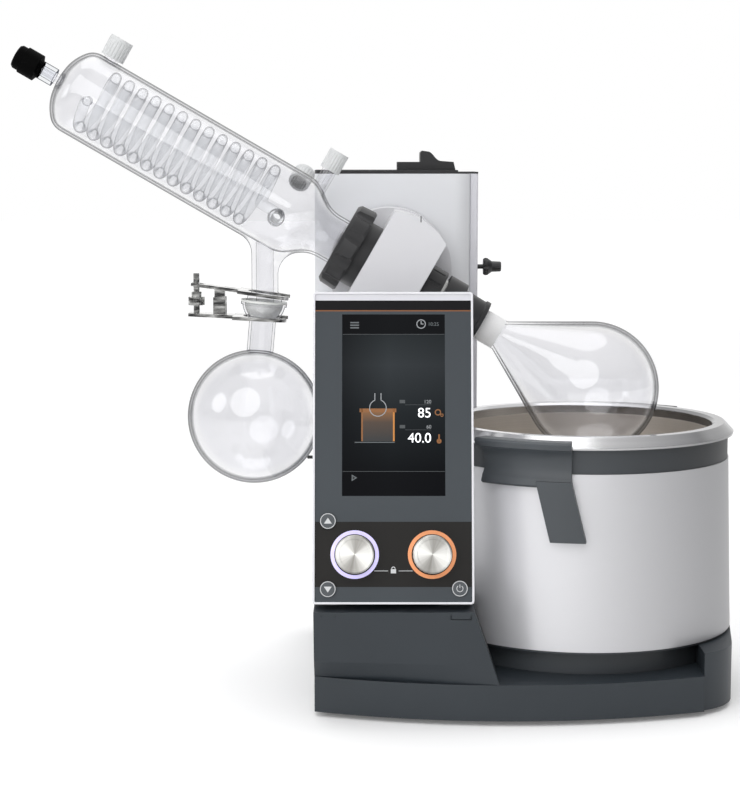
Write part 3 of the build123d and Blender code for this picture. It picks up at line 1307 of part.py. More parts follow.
def bath_bowl():
    """The deep-drawn steel bowl with a rounded floor and a flat flange on the collar."""
    def wall(radius, floor):
        corner = BATH_FLOOR_FILLET
        return [
            Line((0, floor), (radius - corner, floor)),
            RadiusArc((radius - corner, floor), (radius, floor + corner), -corner),
            Line((radius, floor + corner), (radius, BATH_RIM_BOTTOM + BATH_SHEET)),
            Line((radius, BATH_RIM_BOTTOM + BATH_SHEET), (0, BATH_RIM_BOTTOM + BATH_SHEET)),
            Line((0, BATH_RIM_BOTTOM + BATH_SHEET), (0, floor)),
        ]

    bowl = lathe_edges(*wall(BOWL_OUTER, BATH_FLOOR_Z - BATH_SHEET))
    bowl = bowl + rod(BATH_COLLAR_RADIUS - 3, BATH_RIM_BOTTOM, BATH_RIM_BOTTOM + BATH_SHEET)
    inner = lathe_edges(*wall(BATH_BOWL_RADIUS, BATH_FLOOR_Z))
    return BATH * (bowl - inner)


def bath_rim():
    """The bright rim ring over the bowl's flange."""
    low = BATH_RIM_BOTTOM + BATH_SHEET
    ring = lathe(
        [
            (low, BATH_BOWL_RADIUS),
            (BATH_RIM_TOP - 2.5, BATH_BOWL_RADIUS),
            (BATH_RIM_TOP, BATH_BOWL_RADIUS + 3),
            (BATH_RIM_TOP, BATH_RIM_RADIUS - 8.5),
            (BATH_RIM_BOTTOM + 3, BATH_RIM_RADIUS),
            (BATH_RIM_BOTTOM + 0.8, BATH_RIM_RADIUS - 0.4),
            (BATH_RIM_BOTTOM, BATH_COLLAR_RADIUS),
            (BATH_RIM_BOTTOM, BATH_COLLAR_RADIUS - 3),
            (low, BATH_COLLAR_RADIUS - 3),
        ]
    )
    return BATH * ring


def bath_collar():
    """The dark collar under the rim, which carries the bowl's flange."""
    return BATH * lathe(
        [
            (BATH_COLLAR_BOTTOM, BATH_COLLAR_RADIUS - 4),
            (BATH_COLLAR_BOTTOM, BATH_COLLAR_RADIUS),
            (BATH_RIM_BOTTOM, BATH_COLLAR_RADIUS),
            (BATH_RIM_BOTTOM, BOWL_OUTER + 0.6),
            (BATH_RIM_BOTTOM - 4, BOWL_OUTER + 0.6),
            (BATH_RIM_BOTTOM - 4, BATH_COLLAR_RADIUS - 4),
        ]
    )


def bath_shell():
    """The silver outer shell between foot ring and collar, a little wider at its foot."""
    wall = SHELL_WALL - 0.5
    ledge = BATH_COLLAR_BOTTOM - SHELL_WALL
    return BATH * lathe(
        [
            (BATH_SHELL_BOTTOM, BATH_FOOT_RADIUS - wall),
            (BATH_SHELL_BOTTOM, BATH_FOOT_RADIUS),
            (BATH_COLLAR_BOTTOM, BATH_SHELL_RADIUS),
            (BATH_COLLAR_BOTTOM, BATH_COLLAR_RADIUS - 8),
            (ledge, BATH_COLLAR_RADIUS - 8),
            (ledge, BATH_SHELL_RADIUS - wall),
        ]
    )


def bath_foot_ring():
    """The dark foot of the bath: a ring with a lip under the shell, a floor and three heater posts."""
    foot = lathe(
        [
            (BASE_TOP, 0),
            (BASE_TOP, FOOT_RING_RADIUS),
            (BATH_SHELL_BOTTOM - BATH_FOOT_LIP, FOOT_RING_RADIUS),
            (BATH_SHELL_BOTTOM - BATH_FOOT_LIP, BATH_FOOT_RADIUS - 1),
            (BATH_SHELL_BOTTOM, BATH_FOOT_RADIUS - 1),
            (BATH_SHELL_BOTTOM, FOOT_RING_RADIUS - 6),
            (FOOT_FLOOR, FOOT_RING_RADIUS - 6),
            (FOOT_FLOOR, 0),
        ]
    )
    post = rod(8, FOOT_FLOOR - 1, HEATER_BOTTOM)
    for place in around(3, HEATER_RADIUS - HEATER_POST_INSET):
        foot = foot + place * post
    return BATH * foot


def heater_plate():
    """The round heater under the bowl's floor."""
    return BATH * rod(HEATER_RADIUS, HEATER_BOTTOM, BATH_FLOOR_Z - BATH_SHEET)


def bath_handles():
    """Two dark grips over the collar: an overhanging lip, a hollowed face and a slanted leg at one end."""
    seat = BATH_SHELL_RADIUS + BATH_SHELL_FLARE
    rim = BATH_RIM_RADIUS + HANDLE_SEAT_GAP
    rim_low = BATH_RIM_BOTTOM - HANDLE_SEAT_GAP
    hollow = HANDLE_REACH - HANDLE_HOLLOW
    under_lip = (HANDLE_REACH - 1, HANDLE_TOP - HANDLE_LIP)
    hollow_middle = (hollow + 2, HANDLE_TOP - HANDLE_LIP - 5)
    hollow_end = (hollow, HANDLE_BOTTOM + 8)
    inner = [
        (hollow, HANDLE_BOTTOM),
        (BATH_COLLAR_RADIUS, HANDLE_BOTTOM),
        (BATH_COLLAR_RADIUS, rim_low),
        (rim, rim_low),
        (rim, HANDLE_TOP),
        (HANDLE_REACH - 2, HANDLE_TOP),
        (HANDLE_REACH, HANDLE_TOP - 2),
        under_lip,
    ]
    edges = [Line(a, b) for a, b in zip(inner, inner[1:])]
    edges.append(ThreePointArc(under_lip, hollow_middle, hollow_end))
    edges.append(Line(hollow_end, (hollow + 2, HANDLE_BOTTOM + 2)))
    edges.append(Line((hollow + 2, HANDLE_BOTTOM + 2), (hollow, HANDLE_BOTTOM)))
    grip = revolve(Plane.XZ * make_face(edges), Axis.Z, 2 * HANDLE_HALF_SPAN)
    grip = Rot(0, 0, HANDLE_MIDDLE_ANGLE - HANDLE_HALF_SPAN) * grip
    one = grip + handle_leg(seat + HANDLE_LEG_DEPTH) - shell_room()
    return Compound([BATH * one, BATH * (Rot(0, 0, 180) * one)])


def shell_room():
    """The room that the bath's shell and collar take, as a solid about the bath's axis."""
    return lathe(
        [
            (BATH_SHELL_BOTTOM, 0),
            (BATH_SHELL_BOTTOM, BATH_FOOT_RADIUS),
            (BATH_COLLAR_BOTTOM, BATH_SHELL_RADIUS),
            (BATH_COLLAR_BOTTOM, BATH_COLLAR_RADIUS),
            (BATH_RIM_TOP, BATH_COLLAR_RADIUS),
            (BATH_RIM_TOP, 0),
        ]
    )


def handle_leg(reach):
    """The slanted leg below one end of a grip, lying on the shell."""
    end = HANDLE_MIDDLE_ANGLE + HANDLE_HALF_SPAN
    top = HANDLE_BOTTOM + 6
    outline = Polyline(
        (-HANDLE_LEG_WIDTH, top),
        (HANDLE_LEG_SLANT - HANDLE_LEG_WIDTH, HANDLE_LEG_BOTTOM),
        (HANDLE_LEG_SLANT, HANDLE_LEG_BOTTOM),
        (0, top),
        close=True,
    )
    leg = Plane.YZ * extrude(make_face(outline), HANDLE_REACH)
    return (Rot(0, 0, end) * leg) & rod(reach, HANDLE_LEG_BOTTOM, top)


# Assembly

BUILDERS = {
    "base_plate": base_plate,
    "rubber_feet": rubber_feet,
    "bath_dock": bath_dock,
    "power_inlet": power_inlet,
    "pedestal_cover": pedestal_cover,
    "panel_housing": on_panel(panel_housing),
    "panel_fascia": on_panel(panel_fascia),
    "display_glass": on_panel(display_glass),
    "led_rings": on_panel(led_rings),
    "control_board": on_panel(control_board),
    "knob_left": on_panel(lambda: panel_knob(KNOB_X[0])),
    "knob_right": on_panel(lambda: panel_knob(KNOB_X[1])),
    "button_up": on_panel(lambda: panel_button("button_up")),
    "button_down": on_panel(lambda: panel_button("button_down")),
    "button_power": on_panel(lambda: panel_button("button_power")),
    "mast": mast,
    "guide_rods": guide_rods,
    "lift_motor": lift_motor,
    "lift_screw": lift_screw,
    "carriage": carriage,
    "lift_nut": lift_nut,
    "tower_hood": tower_hood,
    "hood_side_trim": hood_side_trim,
    "hood_top_cap": hood_top_cap,
    "hose_guide": hose_guide,
    "side_nipple": side_nipple,
    "tilt_lock_knob": tilt_lock_knob,
    "drive_housing": drive_housing,
    "drum_cover": drum_cover,
    "pivot_trunnion": pivot_trunnion,
    "rotor_bearings": rotor_bearings,
    "drive_motor": drive_motor,
    "motor_pulley": motor_pulley,
    "drive_belt": drive_belt,
    "rotor_hub": rotor_hub,
    "hub_collar": hub_collar,
    "flask_clip": flask_clip,
    "vapour_tube": vapour_tube,
    "evaporating_flask": evaporating_flask,
    "coupling_flange": coupling_flange,
    "vacuum_seal": vacuum_seal,
    "union_nut": union_nut,
    "condenser_jacket": condenser_jacket,
    "cooling_coil": cooling_coil,
    "end_cap": end_cap,
    "vent_cap": lambda: port_cap("vent", *VENT_CAP),
    "feed_cap": lambda: port_cap("feed", *FEED_CAP),
    "coolant_cap": lambda: port_cap("coolant_rear", *COOLANT_CAP),
    "joint_liner": joint_liner,
    "receiving_flask": receiving_flask,
    "clamp_lower_jaw": clamp_lower_jaw,
    "clamp_upper_jaw": clamp_upper_jaw,
    "clamp_nut": clamp_nut,
    "bath_bowl": bath_bowl,
    "bath_rim": bath_rim,
    "bath_collar": bath_collar,
    "bath_shell": bath_shell,
    "bath_foot_ring": bath_foot_ring,
    "heater_plate": heater_plate,
    "bath_handles": bath_handles,
}


def build_all():
    """Every piece in the pivot frame, by name."""
    return {name: make() for name, make in BUILDERS.items()}


def origin_shift(pieces):
    """The move that puts the bottom centre of the overall box at the origin."""
    boxes = [piece.bounding_box() for piece in pieces.values()]
    low = [min(tuple(b.min)[axis] for b in boxes) for axis in range(3)]
    high = [max(tuple(b.max)[axis] for b in boxes) for axis in range(3)]
    return (-(low[0] + high[0]) / 2, -(low[1] + high[1]) / 2, -low[2])


def main():
    os.makedirs("parts", exist_ok=True)
    pieces = build_all()
    shift = Location(origin_shift(pieces))
    for name, piece in pieces.items():
        export_step(shift * piece, f"parts/{name}.step")


if __name__ == "__main__":
    main()
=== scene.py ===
"""Looks of the rotary evaporator: finishes for every piece, panel graphics, studio and camera."""

import json
import math

import bpy
from mathutils import Matrix, Vector


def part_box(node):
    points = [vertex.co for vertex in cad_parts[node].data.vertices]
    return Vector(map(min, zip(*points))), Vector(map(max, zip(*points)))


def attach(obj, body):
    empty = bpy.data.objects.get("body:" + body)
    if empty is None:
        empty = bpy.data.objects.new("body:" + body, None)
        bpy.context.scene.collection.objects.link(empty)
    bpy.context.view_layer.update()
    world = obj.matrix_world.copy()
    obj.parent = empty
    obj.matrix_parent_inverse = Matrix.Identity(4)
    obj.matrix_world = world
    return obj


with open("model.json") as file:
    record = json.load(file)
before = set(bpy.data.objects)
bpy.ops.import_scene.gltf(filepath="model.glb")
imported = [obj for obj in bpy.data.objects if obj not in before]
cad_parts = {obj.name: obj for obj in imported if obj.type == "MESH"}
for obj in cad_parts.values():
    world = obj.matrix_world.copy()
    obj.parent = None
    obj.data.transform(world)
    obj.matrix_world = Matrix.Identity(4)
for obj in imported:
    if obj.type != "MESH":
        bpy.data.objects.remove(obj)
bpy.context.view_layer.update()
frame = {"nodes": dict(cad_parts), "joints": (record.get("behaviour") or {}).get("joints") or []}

MM = 0.001
RIGHT = Vector((1, 0, 0))
UP = Vector((0, 0, 1))
NODES = frame["nodes"]
JOINTS = {joint["name"]: joint for joint in frame["joints"]}
PIVOT = Vector(JOINTS["head_tilt"]["pos_m"])
ROTOR_AXIS = Vector(JOINTS["flask_spin"]["axis"]).normalized()
BATH_LOW, BATH_HIGH = [Vector(corner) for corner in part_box("bath_rim")]
BATH_CENTRE = (BATH_LOW + BATH_HIGH) / 2

# Where the bath's painted shade starts and ends, to the right of its centre
SHADE_START = -0.06
SHADE_END = 0.14

# Distances on the rotor axis: down from the pivot to the ground neck, up to the tip cap's head
GROUND_NECK_START = 0.098
GROUND_NECK_END = 0.1215
CAP_HEAD_START = 0.3885

# The touch panel's own directions: out of its face, and up along it from its foot under the pivot
PANEL_OUT = -Vector(JOINTS["up_press"]["axis"]).normalized()
PANEL_UP = Vector((0, PANEL_OUT.z, -PANEL_OUT.y))
LEFT_KNOB = Vector(JOINTS["left_knob_turn"]["pos_m"])
RIGHT_KNOB = Vector(JOINTS["right_knob_turn"]["pos_m"])
KNOB_RISE = 45.0 * MM
PANEL_FOOT = LEFT_KNOB - PANEL_UP * KNOB_RISE
PANEL_FOOT.x = PIVOT.x

# Rises of the panel's fields above its foot, and the display's sides from the pivot
PANEL_HEIGHT = 285.7 * MM
STRIP_BOTTOM = 15.1 * MM
STRIP_TOP = 74.2 * MM
LINE_BOTTOM = 267.1 * MM
BAND_BOTTOM = 268.6 * MM
BAND_TOP = 276.9 * MM
SCREEN_LEFT = -45.6 * MM
SCREEN_RIGHT = 48.6 * MM
SCREEN_BOTTOM = 98.2 * MM
SCREEN_TOP = 265.0 * MM
FOOT_LINE = SCREEN_BOTTOM + 22.2 * MM
HEAD_LINE = SCREEN_TOP - 18.6 * MM
PICTURE_FOOT = SCREEN_BOTTOM + 50 * MM
PICTURE_BRIM = SCREEN_BOTTOM + 80 * MM
GLOW_FOOT = SCREEN_BOTTOM + 52 * MM
SPEED_LINE = SCREEN_BOTTOM + 71.9 * MM
HEAT_LINE = SCREEN_BOTTOM + 48.9 * MM
LOCK_RISE = 30.2 * MM

# Each key's kind, CAD piece, body and rise
KEYS = (
    ("up", "button_up", "up_key", 75.4 * MM),
    ("down", "button_down", "down_key", 13.7 * MM),
    ("power", "button_power", "power_key", 14.2 * MM),
)

# Graphics: their thickness, how far out of the fascia each layer starts, and the heights of figures
PRINT = 0.15 * MM
ON_FASCIA = 0.02 * MM
SECOND_LAYER = 0.2 * MM
THIRD_LAYER = 0.4 * MM
ON_BUTTON = 1.42 * MM
FIGURE_DEPTH = 0.06 * MM
ON_FIGURES = 0.1 * MM
SMALL_FIGURES = 4.6 * MM
LARGE_FIGURES = 12.6 * MM

# Colours, linear
HOOD_GREY = (0.74, 0.75, 0.77)
TRIM_GREY = (0.68, 0.68, 0.72)
HEAD_GREY = (0.66, 0.66, 0.68)
ANTHRACITE = (0.024, 0.031, 0.038)
DARK_PLASTIC = (0.060, 0.068, 0.076)
BLACK_PLASTIC = (0.012, 0.012, 0.013)
RUBBER = (0.012, 0.012, 0.012)
FASCIA_GREY = (0.066, 0.075, 0.083)
STRIP_GREY = (0.022, 0.021, 0.020)
BLACK = (0.006, 0.006, 0.007)
WHITE = (0.76, 0.76, 0.79)
AMBER = (0.27, 0.115, 0.055)
MILKY_CAP = (0.76, 0.77, 0.77)
MILKY_LINER = (0.95, 0.96, 0.94)
CIRCUIT_GREEN = (0.01, 0.09, 0.04)
BRONZE = (0.45, 0.28, 0.10)
ALUMINIUM = (0.50, 0.51, 0.53)
STEEL = (0.38, 0.38, 0.37)
BOWL_STEEL = (0.82, 0.78, 0.73)
RIM_CHROME = (0.72, 0.72, 0.73)
VIOLET_RING = (0.62, 0.57, 0.90)
COPPER_RING = (0.66, 0.26, 0.11)

# The camera, solved from the photograph: pixels, millimetres of sensor, metres and degrees
FOCAL_PIXELS = 2000.0
PICTURE_HEIGHT = 806.0
SENSOR = 36.0
CAMERA_DISTANCE = 1.950
CAMERA_HEIGHT = 0.513
CAMERA_LEFT_OF_PIVOT = 0.0201
CAMERA_PITCH = 6.93

# Each lamp's name, place, aim, width and watts
LAMPS = (
    ("key", (-0.8, -2.6, 1.9), (0.05, 0.0, 0.3), 3.0, 42.0),
    ("side", (-2.2, -0.9, 1.2), (0.0, 0.0, 0.35), 1.2, 8.0),
    ("top", (0.0, 0.3, 2.6), (0.0, 0.0, 0.2), 2.0, 16.0),
)
FLOOR_SIDE = 30.0


# Shader helpers


def new_tree(name):
    """An empty node material and its tree."""
    material = bpy.data.materials.new(name)
    material.use_nodes = True
    material.node_tree.nodes.clear()
    return material, material.node_tree


def add(tree, kind, settings=None, **inputs):
    """A node with settings, and inputs set to values or linked from sockets.

    An input is named with _ for each space, or by its number after an i.
    """
    node = tree.nodes.new("ShaderNode" + kind)
    for key, value in (settings or {}).items():
        setattr(node, key, value)
    for key, value in inputs.items():
        numbered = key[0] == "i" and key[1:].isdigit()
        slot = node.inputs[int(key[1:]) if numbered else key.replace("_", " ")]
        if isinstance(value, bpy.types.NodeSocket):
            tree.links.new(value, slot)
        elif slot.type == "RGBA" and len(value) == 3:
            slot.default_value = (*value, 1.0)
        else:
            slot.default_value = value
    return node


def math_node(tree, operation, *values):
    """The value of a math operation."""
    inputs = {f"i{i}": value for i, value in enumerate(values)}
    return add(tree, "Math", {"operation": operation}, **inputs).outputs[0]


def plus(tree, first, second):
    """The sum of two values."""
    return math_node(tree, "ADD", first, second)


def times(tree, first, second):
    """The product of two values."""
    return math_node(tree, "MULTIPLY", first, second)


def coords(tree):
    """A point of the piece in the frame's own metres, which goes with the piece when it moves."""
    return add(tree, "TexCoord").outputs["Object"]


def from_point(tree, origin):
    """The way from an origin to a point of the piece."""
    settings = {"operation": "SUBTRACT"}
    return add(tree, "VectorMath", settings, i0=coords(tree), i1=tuple(origin)).outputs[0]


def along(tree, axis, origin):
    """How far a point lies along an axis from an origin."""
    way = from_point(tree, origin)
    dot = add(tree, "VectorMath", {"operation": "DOT_PRODUCT"}, i0=way, i1=tuple(axis))
    return dot.outputs["Value"]


def length(tree, vector):
    """The length of a vector."""
    return add(tree, "VectorMath", {"operation": "LENGTH"}, i0=vector).outputs["Value"]


def combined(tree, **parts):
    """A vector from its parts X, Y and Z, where a part that isn't given is 0."""
    return add(tree, "CombineXYZ", **parts).outputs[0]


def grey(value):
    """A neutral colour."""
    return (value, value, value)


def toned(colour, factor):
    """A colour made lighter or darker by a factor."""
    return tuple(min(1.0, channel * factor) for channel in colour)


def ramp(tree, factor, stops, mode="LINEAR"):
    """A colour ramp through (position, colour) stops."""
    node = add(tree, "ValToRGB", Fac=factor)
    node.color_ramp.interpolation = mode
    elements = node.color_ramp.elements
    while len(elements) < len(stops):
        elements.new(0.5)
    for element, (position, colour) in zip(elements, stops):
        element.position = position
        element.color = (*colour, 1.0)
    return node.outputs["Color"]


def mix_colour(tree, factor, first, second, blend="MIX"):
    """Two colours mixed, or blended in another way, by a factor."""
    settings = {"data_type": "RGBA", "blend_type": blend}
    return add(tree, "Mix", settings, i0=factor, i6=first, i7=second).outputs[2]


def mix_shaders(tree, share, first, second):
    """Two shaders mixed by the second one's share."""
    return add(tree, "MixShader", i0=share, i1=first, i2=second).outputs[0]


def noise(tree, scale, detail=2.0, vector=None, rough=0.5):
    """Noise at a scale per metre."""
    source = vector if vector is not None else coords(tree)
    node = add(tree, "TexNoise", Vector=source, Scale=scale, Detail=detail, Roughness=rough)
    return node.outputs["Fac"]


def bumped(tree, height, strength, distance, **normal):
    """A normal with a bump on it."""
    node = add(tree, "Bump", Strength=strength, Distance=distance, Height=height, **normal)
    return node.outputs["Normal"]


def rounded_normal(tree, radius, height=None, strength=0.1, distance=0.5 * MM):
    """A normal softened at sharp edges, with an optional bump."""
    edge = add(tree, "Bevel", {"samples": 4}, Radius=radius).outputs["Normal"]
    if height is None:
        return edge
    return bumped(tree, height, strength, distance, Normal=edge)


def wire(tree, shader):
    """Wires a shader to the output."""
    add(tree, "OutputMaterial", Surface=shader)


def surface(tree, **inputs):
    """Wires a principled surface to the output."""
    wire(tree, add(tree, "BsdfPrincipled", **inputs).outputs[0])


def span(tree, value, low=0.0, high=1.0, to_low=0.0, to_high=1.0):
    """A value mapped from low..high to to_low..to_high, clamped."""
    limits = {"From_Min": low, "From_Max": high, "To_Min": to_low, "To_Max": to_high}
    return add(tree, "MapRange", {"clamp": True}, Value=value, **limits).outputs["Result"]


def swing(tree, share, value, part):
    """A value that swings by a part of itself to both sides as a share goes from 0 to 1."""
    return span(tree, share, to_low=value * (1 - part), to_high=value * (1 + part))


def painted_shade_to_right(tree, colour, right):
    """A colour with painted shade that darkens it towards the bath's right, down to a factor there.
    """
    share = span(tree, along(tree, RIGHT, BATH_CENTRE), SHADE_START, SHADE_END)
    factor = mix_colour(tree, share, grey(1.0), grey(right))
    return mix_colour(tree, 1.0, colour, factor, "MULTIPLY")


def facing_share(tree):
    """0 where a surface faces the viewer, up to 1 where it is seen edge on."""
    return add(tree, "LayerWeight", Blend=0.5).outputs["Facing"]


def rise_share(tree, low, high):
    """How far a point lies up the panel between two rises, as a share."""
    return span(tree, along(tree, PANEL_UP, PANEL_FOOT), low, high)


# Finishes


def grained(
    name,
    colour,
    roughness,
    grain=1800.0,
    strength=0.12,
    edge=0.7 * MM,
    metallic=0.0,
    drift=0.12,
    right=1.0,
):
    """Moulded plastic or paint: fine grain, slight drift of tone, softened edges, and painted shade
    towards the bath's right down to the factor right.
    """
    material, tree = new_tree(name)
    fine = noise(tree, grain, 3.0)
    broad = noise(tree, 14.0)
    tone = mix_colour(tree, broad, toned(colour, 1 - drift), toned(colour, 1 + drift))
    surface(
        tree,
        Base_Color=painted_shade_to_right(tree, tone, right),
        Roughness=swing(tree, fine, roughness, 0.15),
        Metallic=metallic,
        Normal=rounded_normal(tree, edge, fine, strength),
    )
    return material


def painted(name, colour, roughness, edge=1.0 * MM):
    """Smooth case paint."""
    return grained(name, colour, roughness, grain=1600.0, strength=0.06, edge=edge, drift=0.03)


def printed(name, colour):
    """Screen print: a thin satin ink."""
    return grained(name, colour, 0.5, grain=2400.0, strength=0.03, edge=0.05 * MM, drift=0.04)


def turned_metal(name, colour, roughness, ring_scale=900.0, edge=0.4 * MM, right=1.0):
    """Metal turned about the bath's axis: noise over height and distance makes fine rings, and
    painted shade darkens it towards the bath's right.
    """
    material, tree = new_tree(name)
    station = along(tree, UP, BATH_CENTRE)
    reach = length(tree, from_point(tree, BATH_CENTRE))
    rings = noise(tree, ring_scale, 4.0, combined(tree, X=station, Y=reach), 0.7)
    tone = mix_colour(tree, rings, toned(colour, 0.82), toned(colour, 1.12))
    surface(
        tree,
        Base_Color=painted_shade_to_right(tree, tone, right),
        Metallic=1.0,
        Roughness=swing(tree, noise(tree, 30.0), roughness, 0.2),
        Normal=rounded_normal(tree, edge, rings, 0.06, 0.2 * MM),
    )
    return material


def knob_metal(name, centre):
    """A spun knob face: fine rings, tone that varies around the centre, and painted highlights and
    shade: bright and dark fans in place of the reflections of spun metal.
    """
    # The fans are painted highlights and shade, in place of the reflections of spun metal
    highlight_turn, highlight_share, streak_share, ground = 0.25, 0.30, 0.40, 0.30
    material, tree = new_tree(name)
    across = along(tree, RIGHT, centre)
    rise = along(tree, PANEL_UP, centre)
    angle = math_node(tree, "ARCTAN2", rise, across)
    squares = plus(tree, times(tree, across, across), times(tree, rise, rise))
    reach = math_node(tree, "SQRT", squares)
    highlight_fans = math_node(tree, "COSINE", times(tree, plus(tree, angle, highlight_turn), 2.0))
    streak = noise(tree, 3.0, 3.0, combined(tree, X=angle))
    rings = noise(tree, 2600.0, 2.0, combined(tree, X=reach))
    value = plus(tree, times(tree, highlight_fans, highlight_share), times(tree, streak, streak_share))
    tone = ramp(
        tree,
        plus(tree, value, ground),
        [(0.1, (0.26, 0.25, 0.23)), (0.5, (0.62, 0.61, 0.58)), (0.9, (0.98, 0.98, 0.94))],
    )
    surface(
        tree,
        Base_Color=tone,
        Metallic=1.0,
        Roughness=0.36,
        Normal=rounded_normal(tree, 0.5 * MM, rings, 0.08, 0.2 * MM),
    )
    return material


def clear_glass(
    name, edge=(0.05, 0.055, 0.07), body=(0.950, 0.950, 0.958), veil=0.0, frost=None
):
    """Blown glass: clear when faced, sharp shine, and painted light and shade in place of
    refraction: a lighter band inside the edge and a thin dark line where the wall is seen edge on.

    A veil lightens it, as bundled glass does, and frost gives the share of ground glass at a point.
    """
    material, tree = new_tree(name)
    facing = facing_share(tree)
    # Painted light and shade in place of refraction: a lighter band, then shade and a dark line as
    # the wall turns edge on
    wall = tuple(0.5 + 0.49 * clear for clear in body)
    shade = tuple(0.55 * clear + 0.45 * dark for clear, dark in zip(body, edge))
    stops = ((0.0, body), (0.42, body), (0.54, wall), (0.66, wall), (0.77, shade), (0.88, edge))
    through = add(tree, "BsdfTransparent", Color=ramp(tree, facing, stops)).outputs[0]
    ripple = bumped(tree, noise(tree, 45.0), 0.05, 0.6 * MM)
    shine = add(tree, "BsdfGlossy", Color=grey(1.0), Roughness=0.06, Normal=ripple).outputs[0]
    glare = plus(tree, times(tree, math_node(tree, "POWER", facing, 5.0), 0.55), 0.05)
    mixed = mix_shaders(tree, glare, through, shine)
    if veil:
        haze = add(tree, "BsdfDiffuse", Color=(0.95, 0.96, 0.97)).outputs[0]
        mixed = mix_shaders(tree, veil, mixed, haze)
    if frost is not None:
        skin = add(tree, "BsdfDiffuse", Color=grey(0.95)).outputs[0]
        glow = add(tree, "BsdfTranslucent", Color=grey(0.97)).outputs[0]
        mixed = mix_shaders(tree, frost(tree), mixed, mix_shaders(tree, 0.2, skin, glow))
    wire(tree, mixed)
    return material


def neck_frost(tree):
    """The share of ground glass at a point: speckled on the flask's ground neck, 0 elsewhere."""
    station = along(tree, ROTOR_AXIS, PIVOT)
    after = math_node(tree, "GREATER_THAN", station, GROUND_NECK_START)
    before = math_node(tree, "LESS_THAN", station, GROUND_NECK_END)
    speckle = times(tree, noise(tree, 1500.0, 3.0), 0.3)
    return times(tree, times(tree, after, before), plus(tree, speckle, 0.8))


def capped_tube(name):
    """The tip's cap: black, with a clear sleeve below its head that has painted shade where it is
    seen edge on.
    """
    material, tree = new_tree(name)
    head = math_node(tree, "GREATER_THAN", along(tree, -ROTOR_AXIS, PIVOT), CAP_HEAD_START)
    fine = noise(tree, 1300.0, 3.0)
    black = add(
        tree,
        "BsdfPrincipled",
        Base_Color=grey(0.002),
        Roughness=0.5,
        Specular_IOR_Level=0.02,
        Normal=rounded_normal(tree, 0.6 * MM, fine, 0.10),
    )
    # Painted shade in place of refraction: the clear sleeve darkens to a dark line where it is seen
    # edge on
    stops = (
        (0.0, (0.96, 0.965, 0.975)),
        (0.55, (0.93, 0.94, 0.95)),
        (0.75, (0.30, 0.31, 0.34)),
        (0.90, (0.06, 0.06, 0.08)),
    )
    clear = add(tree, "BsdfTransparent", Color=ramp(tree, facing_share(tree), stops))
    wire(tree, mix_shaders(tree, head, clear.outputs[0], black.outputs[0]))
    return material


def milky(name, colour):
    """Milky plastic that lets light through, with a fine grip grain."""
    material, tree = new_tree(name)
    normal = rounded_normal(tree, 0.5 * MM, noise(tree, 1200.0, 3.0), 0.08)
    skin = add(tree, "BsdfPrincipled", Base_Color=colour, Roughness=0.45, Normal=normal)
    through = add(tree, "BsdfTranslucent", Color=colour, Normal=normal)
    wire(tree, mix_shaders(tree, 0.25, skin.outputs[0], through.outputs[0]))
    return material


def polished_sheet(name):
    """Polished stainless sheet: painted reflections, bright with the dark bands that a mirror sees
    in a studio, and painted shade on faces that look forward or back.
    """
    material, tree = new_tree(name)
    normal = add(tree, "SeparateXYZ", Vector=add(tree, "NewGeometry").outputs["Normal"])
    # Faces that look forward or back get painted shade
    side = math_node(tree, "ABSOLUTE", normal.outputs["Y"])
    settings = {"operation": "MULTIPLY"}
    stretched = add(tree, "VectorMath", settings, i0=coords(tree), i1=(60.0, 160.0, 260.0))
    # Noise bands are painted reflections of a studio
    painted_reflections = noise(tree, 1.0, 3.0, stretched.outputs[0])
    value = math_node(tree, "SUBTRACT", painted_reflections, times(tree, side, 0.16))
    stops = ((0.22, grey(0.06)), (0.40, (0.34, 0.34, 0.33)), (0.54, (0.90, 0.90, 0.88)))
    surface(
        tree,
        Base_Color=ramp(tree, value, stops),
        Metallic=1.0,
        Roughness=0.16,
        Normal=rounded_normal(tree, 0.4 * MM),
    )
    return material


def brushed_shell(name):
    """The bath's silver shell: satin paint with a fine horizontal brush, and painted shade towards
    its right.
    """
    material, tree = new_tree(name)
    place = add(tree, "SeparateXYZ", Vector=coords(tree))
    lines = noise(tree, 2200.0, 3.0, combined(tree, Z=place.outputs["Z"]))
    tone = mix_colour(tree, lines, (0.76, 0.76, 0.78), (0.82, 0.82, 0.84))
    surface(
        tree,
        Base_Color=painted_shade_to_right(tree, tone, 0.44),
        Metallic=0.45,
        Roughness=0.36,
        Normal=rounded_normal(tree, 0.8 * MM, lines, 0.03, 0.2 * MM),
    )
    return material


def fascia_finish():
    """The fascia's printed fields by rise, from the grey foot to the white top, with painted shade
    that darkens its upper part.
    """
    material, tree = new_tree("fascia")
    share = rise_share(tree, 0.0, PANEL_HEIGHT)
    edges = (
        (0.0, FASCIA_GREY),
        (STRIP_BOTTOM, STRIP_GREY),
        (STRIP_TOP, FASCIA_GREY),
        (LINE_BOTTOM, AMBER),
        (BAND_BOTTOM, BLACK),
        (BAND_TOP, WHITE),
    )
    stops = [(rise / PANEL_HEIGHT, colour) for rise, colour in edges]
    fields = ramp(tree, share, stops, "CONSTANT")
    # Painted shade, darker towards the panel's top
    shade = ramp(tree, share, [(0.0, grey(1.0)), (0.4, grey(1.0)), (1.0, (0.86, 0.86, 0.87))])
    surface(
        tree,
        Base_Color=mix_colour(tree, 1.0, fields, shade, "MULTIPLY"),
        Roughness=0.45,
        Specular_IOR_Level=0.12,
        Normal=rounded_normal(tree, 0.4 * MM, noise(tree, 2000.0, 3.0), 0.05),
    )
    return material


